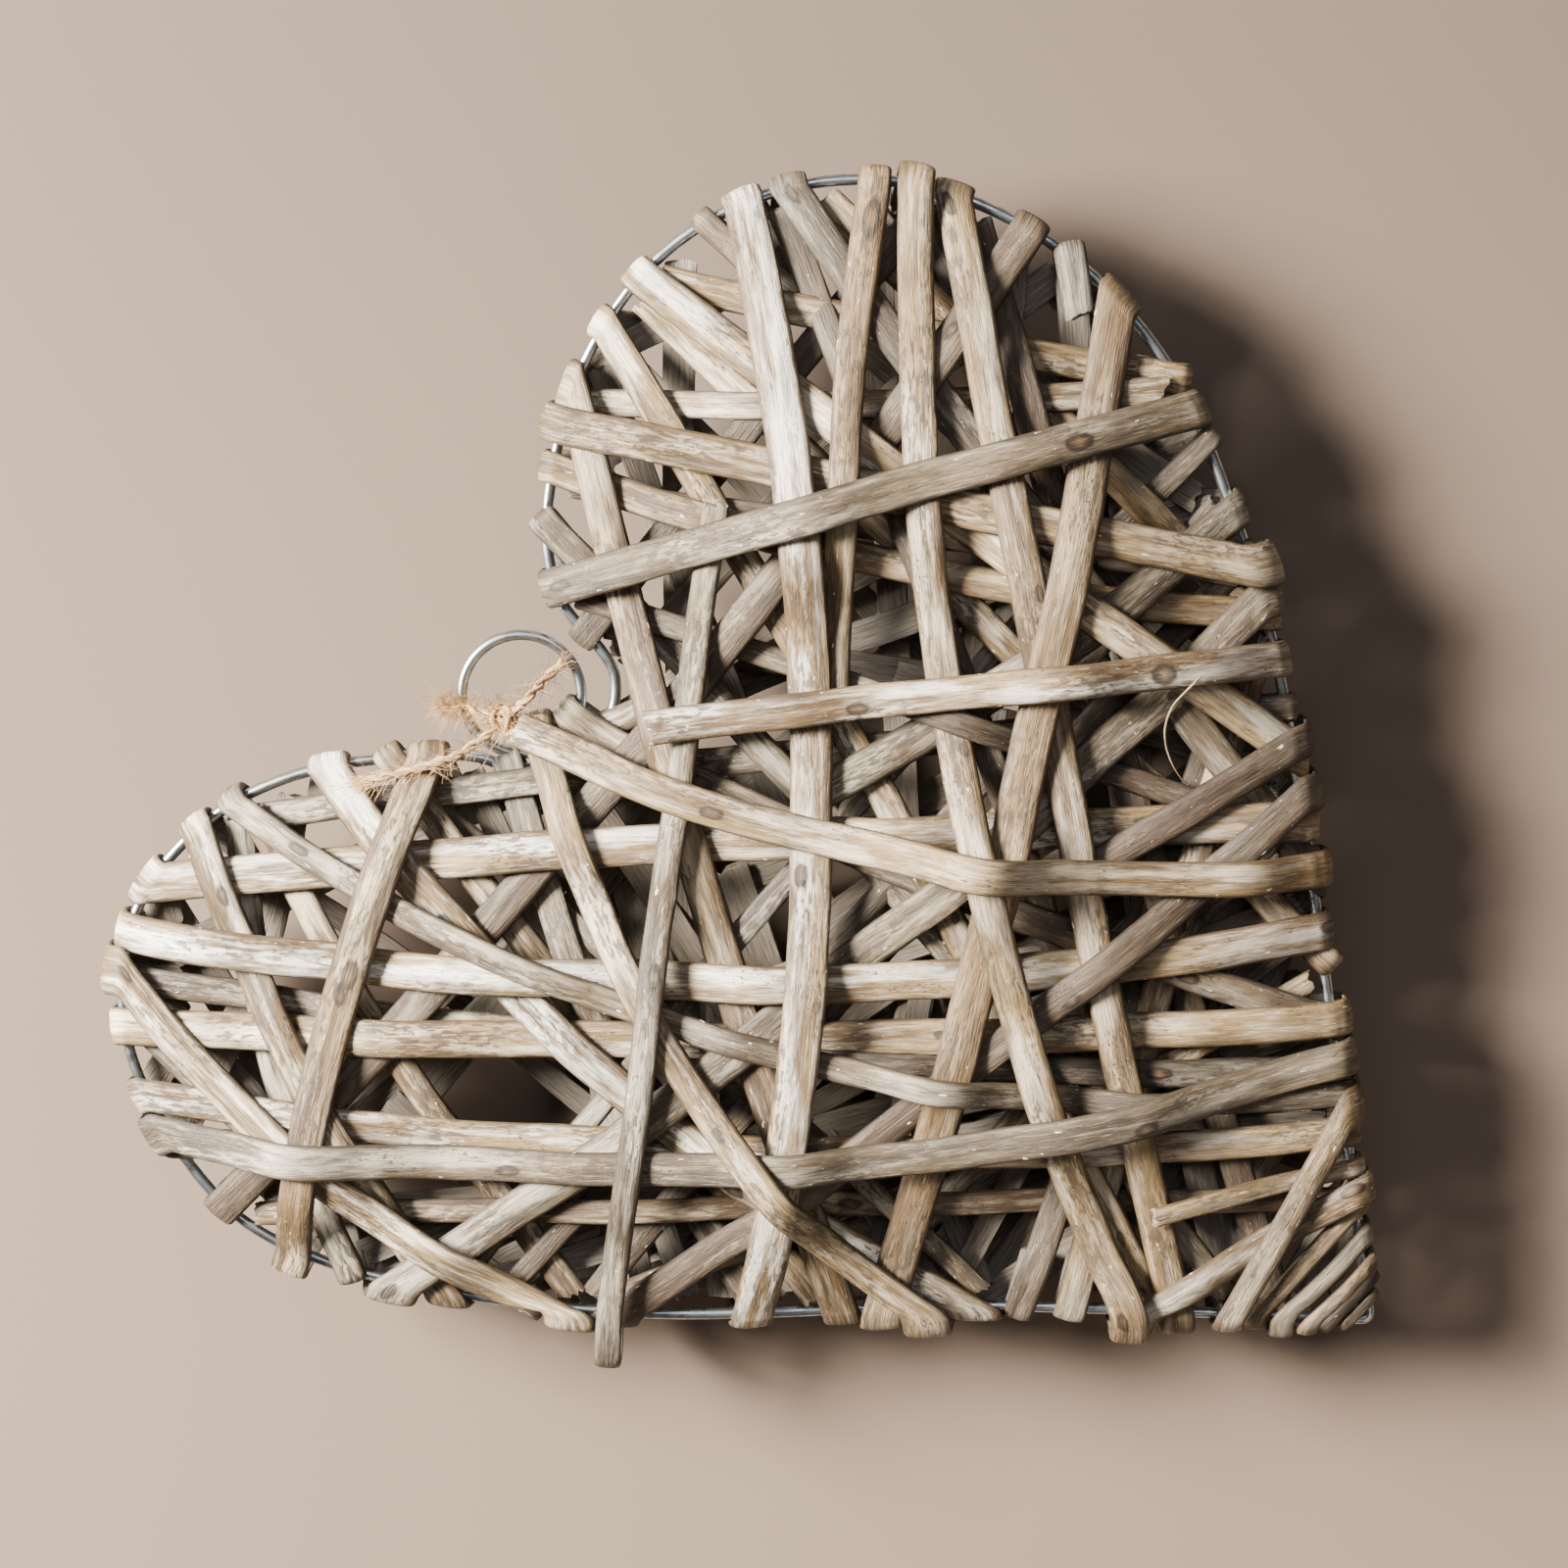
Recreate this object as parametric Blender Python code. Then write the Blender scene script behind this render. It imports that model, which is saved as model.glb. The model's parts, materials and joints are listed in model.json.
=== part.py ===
"""A puffed hanging heart of split willow strips, wound round a heart of galvanised steel wire.

The heart lies on its back: its wire lies in a level plane, the point towards -Y, the cleft
towards +Y and the front face up. The origin is at the middle of the underside.
All sizes are in millimetres until the meshes are made.
"""

import math
from dataclasses import dataclass

import bmesh
import bpy
import numpy as np

MM = 0.001

# Steel wire heart, measured along the middle of the wire
HEART_WIDTH = 297.4
HEART_HEIGHT = 292.4
WIRE_DIAMETER = 2.7

# Steel hanging ring, which lies in the cleft in the plane of the wire
RING_OUTER_DIAMETER = 30.7
RING_WIRE_DIAMETER = 2.7
RING_OFFSET = -2.3
CLEFT_BOTTOM_SHARE = 0.785

# The wire's way round the ring in the cleft: degrees round the middle of the ring, and the
# clearance between the ring and the wire there. The lowest point of the cleft is the third.
CLEFT = ((15.1, 7.55), (-38.9, 5.37), (-83.5, 3.73), (-140.2, 0.83), (169.9, 4.23))
LOWEST_IN_CLEFT = 2

# Willow strips
STRIP_THICKNESS = 1.6
FOLD_THICKNESS = 1.3
CROWN_SHARE = 0.64
FRONT_RISE = 13.0
BACK_RISE = 12.0
BACK_FLATTENING = 1.3
DOME_POWER = 0.62
BEND_RADIUS = 50.0
LEAN_SHARE = 0.7
RIPPLE = 0.12
SETTLE_SWEEPS = 60
CORNER_DROP = 0.25
FOLD_CORNER_ANGLE = 38.5
FOLD_SLIDE = 4.0
MOST_SLIDE = 3.0
SHALLOWEST_EXIT = 0.4
SHALLOWEST_CROSSING = 0.66
STEEPEST_GROWTH = 1.35
TAIL_LENGTH = 14.0
TAIL_TAPER = (1.0, 0.9, 0.85)
TUCK_DISTANCE = 6.0
FRONT_STATION_SPACING = 16.0
BACK_STATION_SPACING = 20.0
LAY_GAP = 0.38

# Jute twine, knotted in the eye of the ring
TWINE_DIAMETER = 2.3
KNOT_TURN_DIAMETER = 2.9
KNOT_GAP = 0.8
TWINE_POINT_SPACING = 5.0

# Fineness of the drape and of the round pieces
RIM_CURVE_STEPS = 24
ROUTE_CURVE_STEPS = 60
TWINE_CURVE_STEPS = 8
ROUND_STEPS = 16
KNOT_STEPS = 14
EDGE_SAMPLES = 25
EDGE_SEARCH_REACH = 60.0
CELL = 1.0
GRID_BORDER = 40.0
DOME_CELL = 2.0
DOME_SWEEPS = 3000
SAMPLE_STEP = 0.5
RIM_STEPS = 3
RING_STATIONS = 28
WIRE_BEVEL_STEPS = 2
MARGIN = 0.6
NOTHING_BELOW = -200.0

# The wire's outline from the point up the right side to the cleft, and from the cleft down
# the left side, in hundredths of the width and of the height
RIGHT_LOBE = (
    (0.0, 0.0), (16.8, 17.4), (35.6, 37.6), (44.7, 50.3), (50.1, 60.9), (52.0, 72.8),
    (49.4, 84.5), (42.7, 93.0), (33.0, 97.5), (22.2, 97.1), (12.1, 92.7),
)
LEFT_LOBE = (
    (-15.5, 95.1), (-23.9, 99.4), (-33.6, 99.4), (-42.4, 93.2), (-47.4, 82.1),
    (-47.4, 72.8), (-42.4, 60.2), (-33.5, 45.5), (-17.8, 25.6), (0.0, 0.0),
)


@dataclass(frozen=True)
class Strip:
    """One willow strip: over the front, round the wire and part of the way over the back.

    start and end are marks on the wire, in hundredths of the way round from the point, up
    the right side first. A start that is a pair is a cut end on the front face, in
    hundredths of the heart's width and height. bow is how far the strip bends to its left,
    in millimetres, and slack is how far its fold stands off the wire.
    """

    start: object
    end: float
    bow: float
    width: float
    back_end: float = -1.0
    back_share: float = 1.0
    slack: float = 0.0
    kink: tuple = ()


# The weaving order, the innermost strip first
STRIPS = (
    Strip(97.2, 2.9, 0.0, 4.4, back_end=97.6),
    Strip(97.8, 2.1, 0.0, 4.2, back_end=98.2),
    Strip(98.4, 1.4, 0.0, 3.4, back_end=98.8),
    Strip(34.5, 11.3, -2.0, 8.2),
    Strip(50.6, 7.5, -2.0, 7.3, back_share=0.5),
    Strip(40.0, 94.9, 2.6, 7.4),
    Strip(28.6, 71.5, 6.4, 8.6, back_share=0.5),
    Strip(66.3, 7.7, -3.0, 8.8),
    Strip(62.7, 12.5, 4.0, 9.4, back_share=0.5),
    Strip(68.1, 4.8, -7.0, 7.8),
    Strip(43.6, 17.6, -5.8, 7.4, back_share=0.5),
    Strip(60.9, 77.4, -4.5, 7.6),
    Strip(57.4, 90.2, -11.5, 8.8, back_share=0.5),
    Strip(41.7, 87.1, -2.5, 8.6),
    Strip((6.5, 63.0), 20.1, -3.0, 8.6, back_share=0.5),
    Strip(18.0, 76.2, 5.5, 9.0),
    Strip(38.6, 14.2, -1.5, 8.6, back_share=0.5),
    Strip((14.8, 42.0), 14.4, 0.5, 7.8),
    Strip(64.0, 9.8, -9.8, 9.0, back_share=0.5),
    Strip(42.6, 18.8, 0.6, 9.0),
    Strip(30.6, 95.2, -2.0, 8.4, back_share=0.5),
    Strip((14.0, 65.6), 32.5, 2.0, 7.4),
    Strip(13.2, 81.6, 1.8, 7.8, back_share=0.5),
    Strip(65.0, 80.4, -9.0, 8.0),
    Strip(25.9, 88.1, 2.5, 9.6, back_share=0.5),
    Strip(59.9, 5.8, -22.0, 6.2),
    Strip(55.0, 73.5, -4.0, 8.8, slack=3.0, back_share=0.5),
    Strip((-3.3, 20.2), 3.9, 0.5, 4.6, back_end=95.6),
    Strip(94.2, 3.3, 0.5, 7.0, back_share=0.5),
    Strip(35.6, 84.9, 14.5, 9.8),
    Strip(31.5, 94.0, -15.0, 8.4, back_share=0.5),
    Strip(96.5, 5.4, 0.0, 6.4),
    Strip(69.1, 6.7, -14.0, 8.4, back_share=0.5),
    Strip(52.0, 89.1, -13.7, 7.4),
    Strip((20.6, 82.3), 81.4, 0.0, 6.3, slack=7.0, kink=(5.6, 73.8), back_share=0.5),
    Strip((-2.9, 84.1), 11.3, -10.6, 8.4, back_share=0.35),
    Strip((3.9, 76.2), 16.5, 1.5, 8.2, back_share=0.5),
    Strip(46.5, 22.8, 2.0, 9.0),
)

# The knot's place and the twine's runs over the front face, in hundredths of the width and
# height. Each run starts or ends beside the knot.
KNOT_PLACE = (-2.9, 85.4)
TWINE_LEAD = ((3.4, 84.4), (1.7, 84.7), (0.1, 84.9))
TWINE_TAIL = ((-6.3, 86.1), (-8.4, 87.4), (-10.3, 88.9), (-12.2, 90.4), (-14.6, 92.2))
TWINE_SHORT_END = ((-4.1, 88.2), (-5.1, 90.1), (-6.3, 91.4))

WILLOW_COLOURS = ("B9A58A", "A8947A", "C6B79E", "8F7C66", "B09A7C", "9C8870")
STEEL_COLOUR = "9AA3A9"
JUTE_COLOUR = "C79F7F"


def clear_scene():
    """Remove everything that the scene holds."""
    for thing in list(bpy.data.objects):
        bpy.data.objects.remove(thing, do_unlink=True)


def linear(channel):
    """Turn one sRGB channel, 0 to 1, to a linear value."""
    if channel <= 0.04045:
        return channel / 12.92
    return ((channel + 0.055) / 1.055) ** 2.4


def material(name, colour, roughness, metallic=0.0):
    """Make a plain finish from a hex colour."""
    finish = bpy.data.materials.new(name)
    finish.use_nodes = True
    shader = finish.node_tree.nodes["Principled BSDF"]
    channels = [linear(int(colour[i:i + 2], 16) / 255.0) for i in (0, 2, 4)]
    shader.inputs["Base Color"].default_value = (*channels, 1.0)
    shader.inputs["Roughness"].default_value = roughness
    shader.inputs["Metallic"].default_value = metallic
    return finish


def place(pair):
    """Turn hundredths of the width and height into a point of the heart's plane."""
    return np.array((pair[0] * HEART_WIDTH, pair[1] * HEART_HEIGHT)) / 100.0


def ring_centre():
    """Give the middle of the hanging ring, which is seated over the lowest of the cleft."""
    bottom = CLEFT_BOTTOM_SHARE * HEART_HEIGHT
    clearance = WIRE_DIAMETER / 2.0 + CLEFT[LOWEST_IN_CLEFT][1]
    return np.array((RING_OFFSET, bottom + clearance + RING_OUTER_DIAMETER / 2.0))


def outline():
    """Give the points that the middle of the wire runs through."""
    cleft = []
    for degrees, clearance in CLEFT:
        reach = (RING_OUTER_DIAMETER + WIRE_DIAMETER) / 2.0 + clearance
        angle = math.radians(degrees)
        cleft.append(ring_centre() + reach * np.array((math.cos(angle), math.sin(angle))))
    return [place(pair) for pair in RIGHT_LOBE] + cleft + [place(pair) for pair in LEFT_LOBE]


def smooth_path(knots, steps):
    """Run a smooth curve through the knots, with that many steps between two of them."""
    knots = [np.asarray(knot, float) for knot in knots]
    slopes = [knots[1] - knots[0]]
    for before, after in zip(knots, knots[2:]):
        slopes.append((after - before) / 2.0)
    slopes.append(knots[-1] - knots[-2])
    path = []
    for i in range(len(knots) - 1):
        for t in np.arange(steps) / steps:
            path.append(
                (2 * t**3 - 3 * t**2 + 1) * knots[i]
                + (t**3 - 2 * t**2 + t) * slopes[i]
                + (3 * t**2 - 2 * t**3) * knots[i + 1]
                + (t**3 - t**2) * slopes[i + 1]
            )
    path.append(knots[-1])
    return np.array(path)


def lengths_along(path):
    """Give the distance along a path to each of its points."""
    steps = np.linalg.norm(np.diff(path, axis=0), axis=1)
    return np.concatenate([[0.0], np.cumsum(steps)])


def respaced(path, count):
    """Give count + 1 points at even distances along a path."""
    along = lengths_along(path)
    wanted = np.linspace(0.0, along[-1], count + 1)
    return np.stack([np.interp(wanted, along, axis) for axis in path.T], axis=1)


class Rim:
    """The wire's middle line, in the heart's plane."""

    def __init__(self):
        self.path = smooth_path(outline(), RIM_CURVE_STEPS)
        self.along = lengths_along(self.path)
        self.length = self.along[-1]

    def at(self, mark):
        """Give the point, the direction of the wire and the way out of the heart at a mark."""
        distance = mark / 100.0 * self.length
        i = int(np.clip(np.searchsorted(self.along, distance), 1, len(self.path) - 1))
        low, high = self.path[i - 1], self.path[i]
        share = (distance - self.along[i - 1]) / (self.along[i] - self.along[i - 1])
        direction = (high - low) / np.linalg.norm(high - low)
        outward = np.array((direction[1], -direction[0]))
        return low + (high - low) * share, direction, outward

    def inside(self, x, y):
        """Say which of the points lie inside the wire."""
        hits = np.zeros(np.shape(x), bool)
        for (x0, y0), (x1, y1) in zip(self.path, self.path[1:]):
            if y0 == y1:
                continue
            crosses = (y0 > y) != (y1 > y)
            hits ^= crosses & (x < (x1 - x0) * (y - y0) / (y1 - y0) + x0)
        return hits

    def first_hit(self, point, heading):
        """Give the distance from a point inside to the wire along a heading."""
        nearest = math.inf
        for low, high in zip(self.path, self.path[1:]):
            edge = high - low
            cross = heading[0] * edge[1] - heading[1] * edge[0]
            if abs(cross) < 1e-9:
                continue
            to_low = low - point
            distance = (to_low[0] * edge[1] - to_low[1] * edge[0]) / cross
            share = (to_low[0] * heading[1] - to_low[1] * heading[0]) / cross
            if distance > TUCK_DISTANCE * 2 and -1e-9 <= share <= 1 + 1e-9:
                nearest = min(nearest, distance)
        return nearest


class Dome:
    """The smooth swelling of the heart, as a film blown up over the wire."""

    def __init__(self, rim):
        self.low = rim.path.min(axis=0) - 4 * DOME_CELL
        high = rim.path.max(axis=0) + 4 * DOME_CELL
        counts = np.ceil((high - self.low) / DOME_CELL).astype(int) + 1
        x = self.low[0] + DOME_CELL * np.arange(counts[0])
        y = self.low[1] + DOME_CELL * np.arange(counts[1])
        grid_x, grid_y = np.meshgrid(x, y, indexing="ij")
        inside = rim.inside(grid_x, grid_y)
        film = np.zeros(inside.shape)
        for _ in range(DOME_SWEEPS):
            around = film[:-2, 1:-1] + film[2:, 1:-1] + film[1:-1, :-2] + film[1:-1, 2:]
            film[1:-1, 1:-1] = np.where(inside[1:-1, 1:-1], (around + 1.0) / 4.0, 0.0)
        self.share = (film / film.max()) ** DOME_POWER

    def at(self, x, y):
        """Give the share of the full rise over a point of the plane."""
        across = np.clip((x - self.low[0]) / DOME_CELL, 0, self.share.shape[0] - 1.001)
        up = np.clip((y - self.low[1]) / DOME_CELL, 0, self.share.shape[1] - 1.001)
        i, j = across.astype(int), up.astype(int)
        a, b = across - i, up - j
        near = self.share[i, j] * (1 - a) + self.share[i + 1, j] * a
        far = self.share[i, j + 1] * (1 - a) + self.share[i + 1, j + 1] * a
        return near * (1 - b) + far * b


class Face:
    """One face of the heart, with the pile of strips that lies on its dome so far."""

    def __init__(self, rim, dome, rise, flattening):
        self.dome = dome
        self.rise = rise
        self.flattening = flattening
        self.low = rim.path.min(axis=0) - GRID_BORDER
        counts = np.ceil((rim.path.max(axis=0) + GRID_BORDER - self.low) / CELL).astype(int)
        self.pile = np.full(counts, NOTHING_BELOW)
        self.lay_wire(respaced(rim.path, int(rim.length / SAMPLE_STEP)), WIRE_DIAMETER)

    def base(self, points):
        """Give the height of the dome over points of the plane."""
        share = self.dome.at(points[..., 0], points[..., 1])
        return self.rise * np.minimum(share * self.flattening, 1.0)

    def cells(self, points):
        """Give the grid cells that points fall in."""
        places = np.floor((points[..., :2] - self.low) / CELL).astype(int)
        return places[..., 0], places[..., 1]

    def lay_wire(self, path, diameter):
        """Put a wire of the heart's plane under the pile."""
        reach = diameter / 2.0
        for across in (-reach, 0.0, reach):
            for up in (-reach, 0.0, reach):
                spots = np.column_stack([path + (across, up), np.full(len(path), reach)])
                self.lay(spots)

    def above(self, points):
        """Give how far the pile stands above the given heights."""
        return self.pile[self.cells(points)] + self.base(points) - points[..., 2]

    def lay(self, points):
        """Raise the pile to the given heights."""
        np.maximum.at(self.pile, self.cells(points), points[..., 2] - self.base(points))


def quad_samples(a_left, a_right, b_left, b_right, margin=0.0):
    """Give points all over the two triangles that span two sections of a strip."""
    widest = max(np.linalg.norm(a_right - a_left), np.linalg.norm(b_right - b_left))
    longest = max(np.linalg.norm(b_left - a_left), np.linalg.norm(b_right - a_right))
    if margin:
        across = (a_right - a_left) / np.linalg.norm(a_right - a_left) * margin
        a_left, a_right = a_left - across, a_right + across
        across = (b_right - b_left) / np.linalg.norm(b_right - b_left) * margin
        b_left, b_right = b_left - across, b_right + across
    u = np.linspace(0, 1, int(widest / SAMPLE_STEP) + 3)[:, None, None]
    v = np.linspace(0, 1, int(longest / SAMPLE_STEP) + 3)[None, :, None]
    first = a_left + (a_right - a_left) * u + (b_right - a_right) * v
    second = a_left + (b_left - a_left) * v + (b_right - b_left) * u
    return np.where(u >= v, first, second)


class Weave:
    """Lays the strips one after another, each outside all that it crosses."""

    def __init__(self):
        self.rim = Rim()
        dome = Dome(self.rim)
        self.front = Face(self.rim, dome, FRONT_RISE, 1.0)
        self.back = Face(self.rim, dome, BACK_RISE, BACK_FLATTENING)
        self.edges = []
        wire = respaced(self.rim.path, int(self.rim.length / SAMPLE_STEP))
        ring = ring_path(int(math.pi * RING_OUTER_DIAMETER / SAMPLE_STEP))
        self.steel_points = [(point, WIRE_DIAMETER / 2.0) for point in wire]
        self.steel_points += [(point, RING_WIRE_DIAMETER / 2.0) for point in ring]
        for face in (self.front, self.back):
            face.lay_wire(ring, RING_WIRE_DIAMETER)

    def reach_needed(self, point, along, outward, half):
        """Give how far out a fold has to reach to clear what lies under it."""
        furthest = 0.0
        gap_below_ring = CLEFT[LOWEST_IN_CLEFT][1]
        bind_within = gap_below_ring + 2 * RING_WIRE_DIAMETER + WIRE_DIAMETER
        for spot, radius in self.steel_points:
            offset = spot - point
            out = offset @ outward
            if abs(offset @ along) < half + radius and abs(out) < bind_within:
                furthest = max(furthest, out + radius)
        for first, second in self.edges:
            a, b = first - point, second - point
            if min(np.linalg.norm(a), np.linalg.norm(b)) > EDGE_SEARCH_REACH:
                continue
            shares = np.linspace(0, 1, EDGE_SAMPLES)[:, None]
            spots = a + (b - a) * shares
            held = np.abs(spots @ along) < half + LAY_GAP
            if held.any():
                furthest = max(furthest, (spots[held] @ outward).max())
        return furthest + LAY_GAP


def ring_path(count):
    """Give points round the middle line of the ring's wire."""
    radius = (RING_OUTER_DIAMETER - RING_WIRE_DIAMETER) / 2.0
    angles = np.arange(count) * 2 * math.pi / count
    return ring_centre() + radius * np.stack([np.cos(angles), np.sin(angles)], axis=1)


def front_route(strip, rim):
    """Give the strip's middle line over the front face."""
    if isinstance(strip.start, tuple):
        start = place(strip.start)
    else:
        start = rim.at(strip.start)[0]
    end = rim.at(strip.end)[0]
    knots = [start, end]
    if strip.kink:
        knots = [start, place(strip.kink), end]
    pieces = []
    for low, high in zip(knots, knots[1:]):
        t = np.linspace(0, 1, ROUTE_CURVE_STEPS)[:, None]
        left = np.array((low[1] - high[1], high[0] - low[0]))
        left = left / np.linalg.norm(left)
        pieces.append(low + (high - low) * t + left * strip.bow * 4 * t * (1 - t))
    path = np.concatenate(pieces)
    total = lengths_along(path)[-1]
    return respaced(path, max(3, round(total / FRONT_STATION_SPACING)))


def back_route(strip, rim, corner, heading):
    """Give the strip's middle line over the back, from its fold to where it is tucked in."""
    if strip.back_end >= 0:
        target = rim.at(strip.back_end)[0]
        heading = (target - corner) / np.linalg.norm(target - corner)
    reach = (rim.first_hit(corner, heading) - TUCK_DISTANCE) * strip.back_share
    count = max(2, round(reach / BACK_STATION_SPACING))
    return corner + heading * np.linspace(0, reach, count + 1)[:, None]


def headings_of(path):
    """Give the heading of a path at each of its points."""
    steps = np.gradient(path, axis=0)
    return steps / np.linalg.norm(steps, axis=1)[:, None]


def across_wire(rim_direction, heading, half):
    """Give the half section of a fold, which lies along the wire, with its left to the left."""
    left = np.array((-heading[1], heading[0]))
    lean = max(abs(rim_direction @ left), SHALLOWEST_CROSSING)
    return rim_direction * math.copysign(half / lean, rim_direction @ left)


def settle(face, sections, floors):
    """Raise a run of sections until they clear the pile, with no valley deeper than willow bends.

    Args:
        face: the face that the strip lies on.
        sections: the corners of each section, on the dome.
        floors: the least rise of each section that is bent round the wire.
    Returns:
        How far each section is raised. Every second one stands a ripple higher, because no
        strip is dead straight.
    """
    count = len(sections)
    middles = np.array([(left + right) / 2.0 for left, right in sections])
    needs = []
    for low, high in zip(sections, sections[1:]):
        quad = quad_samples(*low, *high, margin=MARGIN)
        needs.append(face.above(quad).max(axis=0) + LAY_GAP)
    spans = np.linalg.norm(middles[2:, :2] - middles[:-2, :2], axis=1) / 2.0
    valleys = spans**2 / (2.0 * BEND_RADIUS)
    raised = np.array([floors.get(i, 0.0) for i in range(count)])
    for _ in range(SETTLE_SWEEPS):
        for i, need in enumerate(needs):
            share = np.linspace(0, 1, len(need))
            short = need - (1 - share) * raised[i] - share * raised[i + 1]
            worst = int(short.argmax())
            if short[worst] <= 0:
                continue
            near, far = 1 - share[worst], share[worst]
            whole = near**2 + far**2
            raised[i] += short[worst] * near / whole
            raised[i + 1] += short[worst] * far / whole
        heights = middles[:, 2] + raised
        floor = (heights[:-2] + heights[2:]) / 2.0 - valleys
        raised[1:-1] = np.maximum(raised[1:-1], floor - middles[1:-1, 2])
    for i, need in enumerate(needs):
        share = np.linspace(0, 1, len(need))
        short = (need - (1 - share) * raised[i] - share * raised[i + 1]).max()
        if short > 0:
            raised[i] += short
            raised[i + 1] += short
    raised[1:-1:2] += RIPPLE
    return raised


@dataclass
class Section:
    """One cross-section of a strip: the inner face's two corners and the way to the outer."""

    left: np.ndarray
    right: np.ndarray
    outer: np.ndarray


def over_face(face, spots, halves, side, bends):
    """Lay a run of a strip on a face.

    Args:
        face: the face that it lies on.
        spots: its middle line.
        halves: half of each section, to the strip's left.
        side: 1 for the front face and -1 for the back.
        bends: the way out and the reach of the bend at each section that lies on the wire.
    Returns:
        Its sections.
    """
    floors = {}
    for i, (outward, reach) in bends.items():
        edge = [np.array((*(spots[i] + part), 0.0)) for part in (halves[i], -halves[i])]
        step = np.array((*(outward * reach), 0.0))
        quad = quad_samples(edge[0], edge[1], edge[0] + step, edge[1] + step)
        drop = 1.0 - CORNER_DROP * np.linspace(0, 1, quad.shape[1])
        floors[i] = ((face.above(quad) + LAY_GAP) / drop).max()
    sections = []
    for spot, half in zip(spots, halves):
        middle = float(face.base(spot))
        corners = []
        for corner in (spot + half, spot - half):
            lean = (float(face.base(corner)) - middle) * LEAN_SHARE
            corners.append(np.array((*corner, middle + lean)))
        sections.append(corners)
    raised = settle(face, sections, floors)
    for (left, right), rise in zip(sections, raised):
        left[2] += rise
        right[2] += rise
    result = []
    for i, (left, right) in enumerate(sections):
        before, after = sections[max(i - 1, 0)], sections[min(i + 1, len(sections) - 1)]
        run = after[0] + after[1] - before[0] - before[1]
        slope = abs(run[2]) / np.linalg.norm(run[:2])
        thickness = FOLD_THICKNESS if i in bends else STRIP_THICKNESS
        depth = thickness * min(math.sqrt(1 + slope * slope), STEEPEST_GROWTH)
        result.append(Section(left, right, np.array((0.0, 0.0, depth))))
    for low, high in zip(result, result[1:]):
        face.lay(quad_samples(low.left + low.outer, low.right + low.outer,
                              high.left + high.outer, high.right + high.outer))
    if side < 0:
        for section in result:
            for corner in (section.left, section.right, section.outer):
                corner[2] *= -1.0
    return result


@dataclass
class Bend:
    """Where a strip is bent round the wire, and how far it reaches out there."""

    point: np.ndarray
    along: np.ndarray
    outward: np.ndarray
    half: np.ndarray
    shift: float
    reach: float = 0.0

    def find_reach(self, weave, slack):
        """Reach out past all that the strip is bent round."""
        half_length = abs(self.half @ self.along) + abs(self.shift)
        needed = weave.reach_needed(self.point, self.along, self.outward, half_length)
        self.reach = needed + slack

    def sections(self, weave, front_height, back_height):
        """Bend the strip round the wire, from the front face to the back."""
        angle = math.radians(FOLD_CORNER_ANGLE)
        profile = (
            (self.reach - CORNER_DROP * min(front_height, self.reach),
             (1 - CORNER_DROP) * front_height, math.cos(angle), math.sin(angle)),
            (self.reach, 0.0, 1.0, 0.0),
            (self.reach - CORNER_DROP * min(back_height, self.reach),
             (CORNER_DROP - 1) * back_height, math.cos(angle), -math.sin(angle)),
        )
        sections = []
        for i, (out, height, outer_out, outer_up) in enumerate(profile):
            slid = self.shift * (i + 1) / (len(profile) + 1)
            spot = self.point + self.outward * out + self.along * slid
            outer = np.array((*(self.outward * outer_out), outer_up)) * FOLD_THICKNESS
            sections.append(Section(np.array((*(spot + self.half), height)),
                                    np.array((*(spot - self.half), height)), outer))
        outermost = sections[1]
        weave.edges.append(((outermost.left + outermost.outer)[:2],
                            (outermost.right + outermost.outer)[:2]))
        for face, height, turn in ((weave.front, front_height, 1.0),
                                   (weave.back, back_height, -1.0)):
            corner = sections[0] if turn > 0 else sections[2]
            start = self.point + (self.along * self.shift if turn < 0 else 0.0)
            rows = [
                [np.array((*(start + part), height + FOLD_THICKNESS))
                 for part in (self.half, -self.half)],
                [(side + corner.outer) * (1.0, 1.0, turn) for side in (corner.left, corner.right)],
                [(side + outermost.outer) * (1.0, 1.0, turn)
                 for side in (outermost.left, outermost.right)],
            ]
            for low, high in zip(rows, rows[1:]):
                face.lay(quad_samples(low[0], low[1], high[0], high[1]))
        return sections


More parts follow.
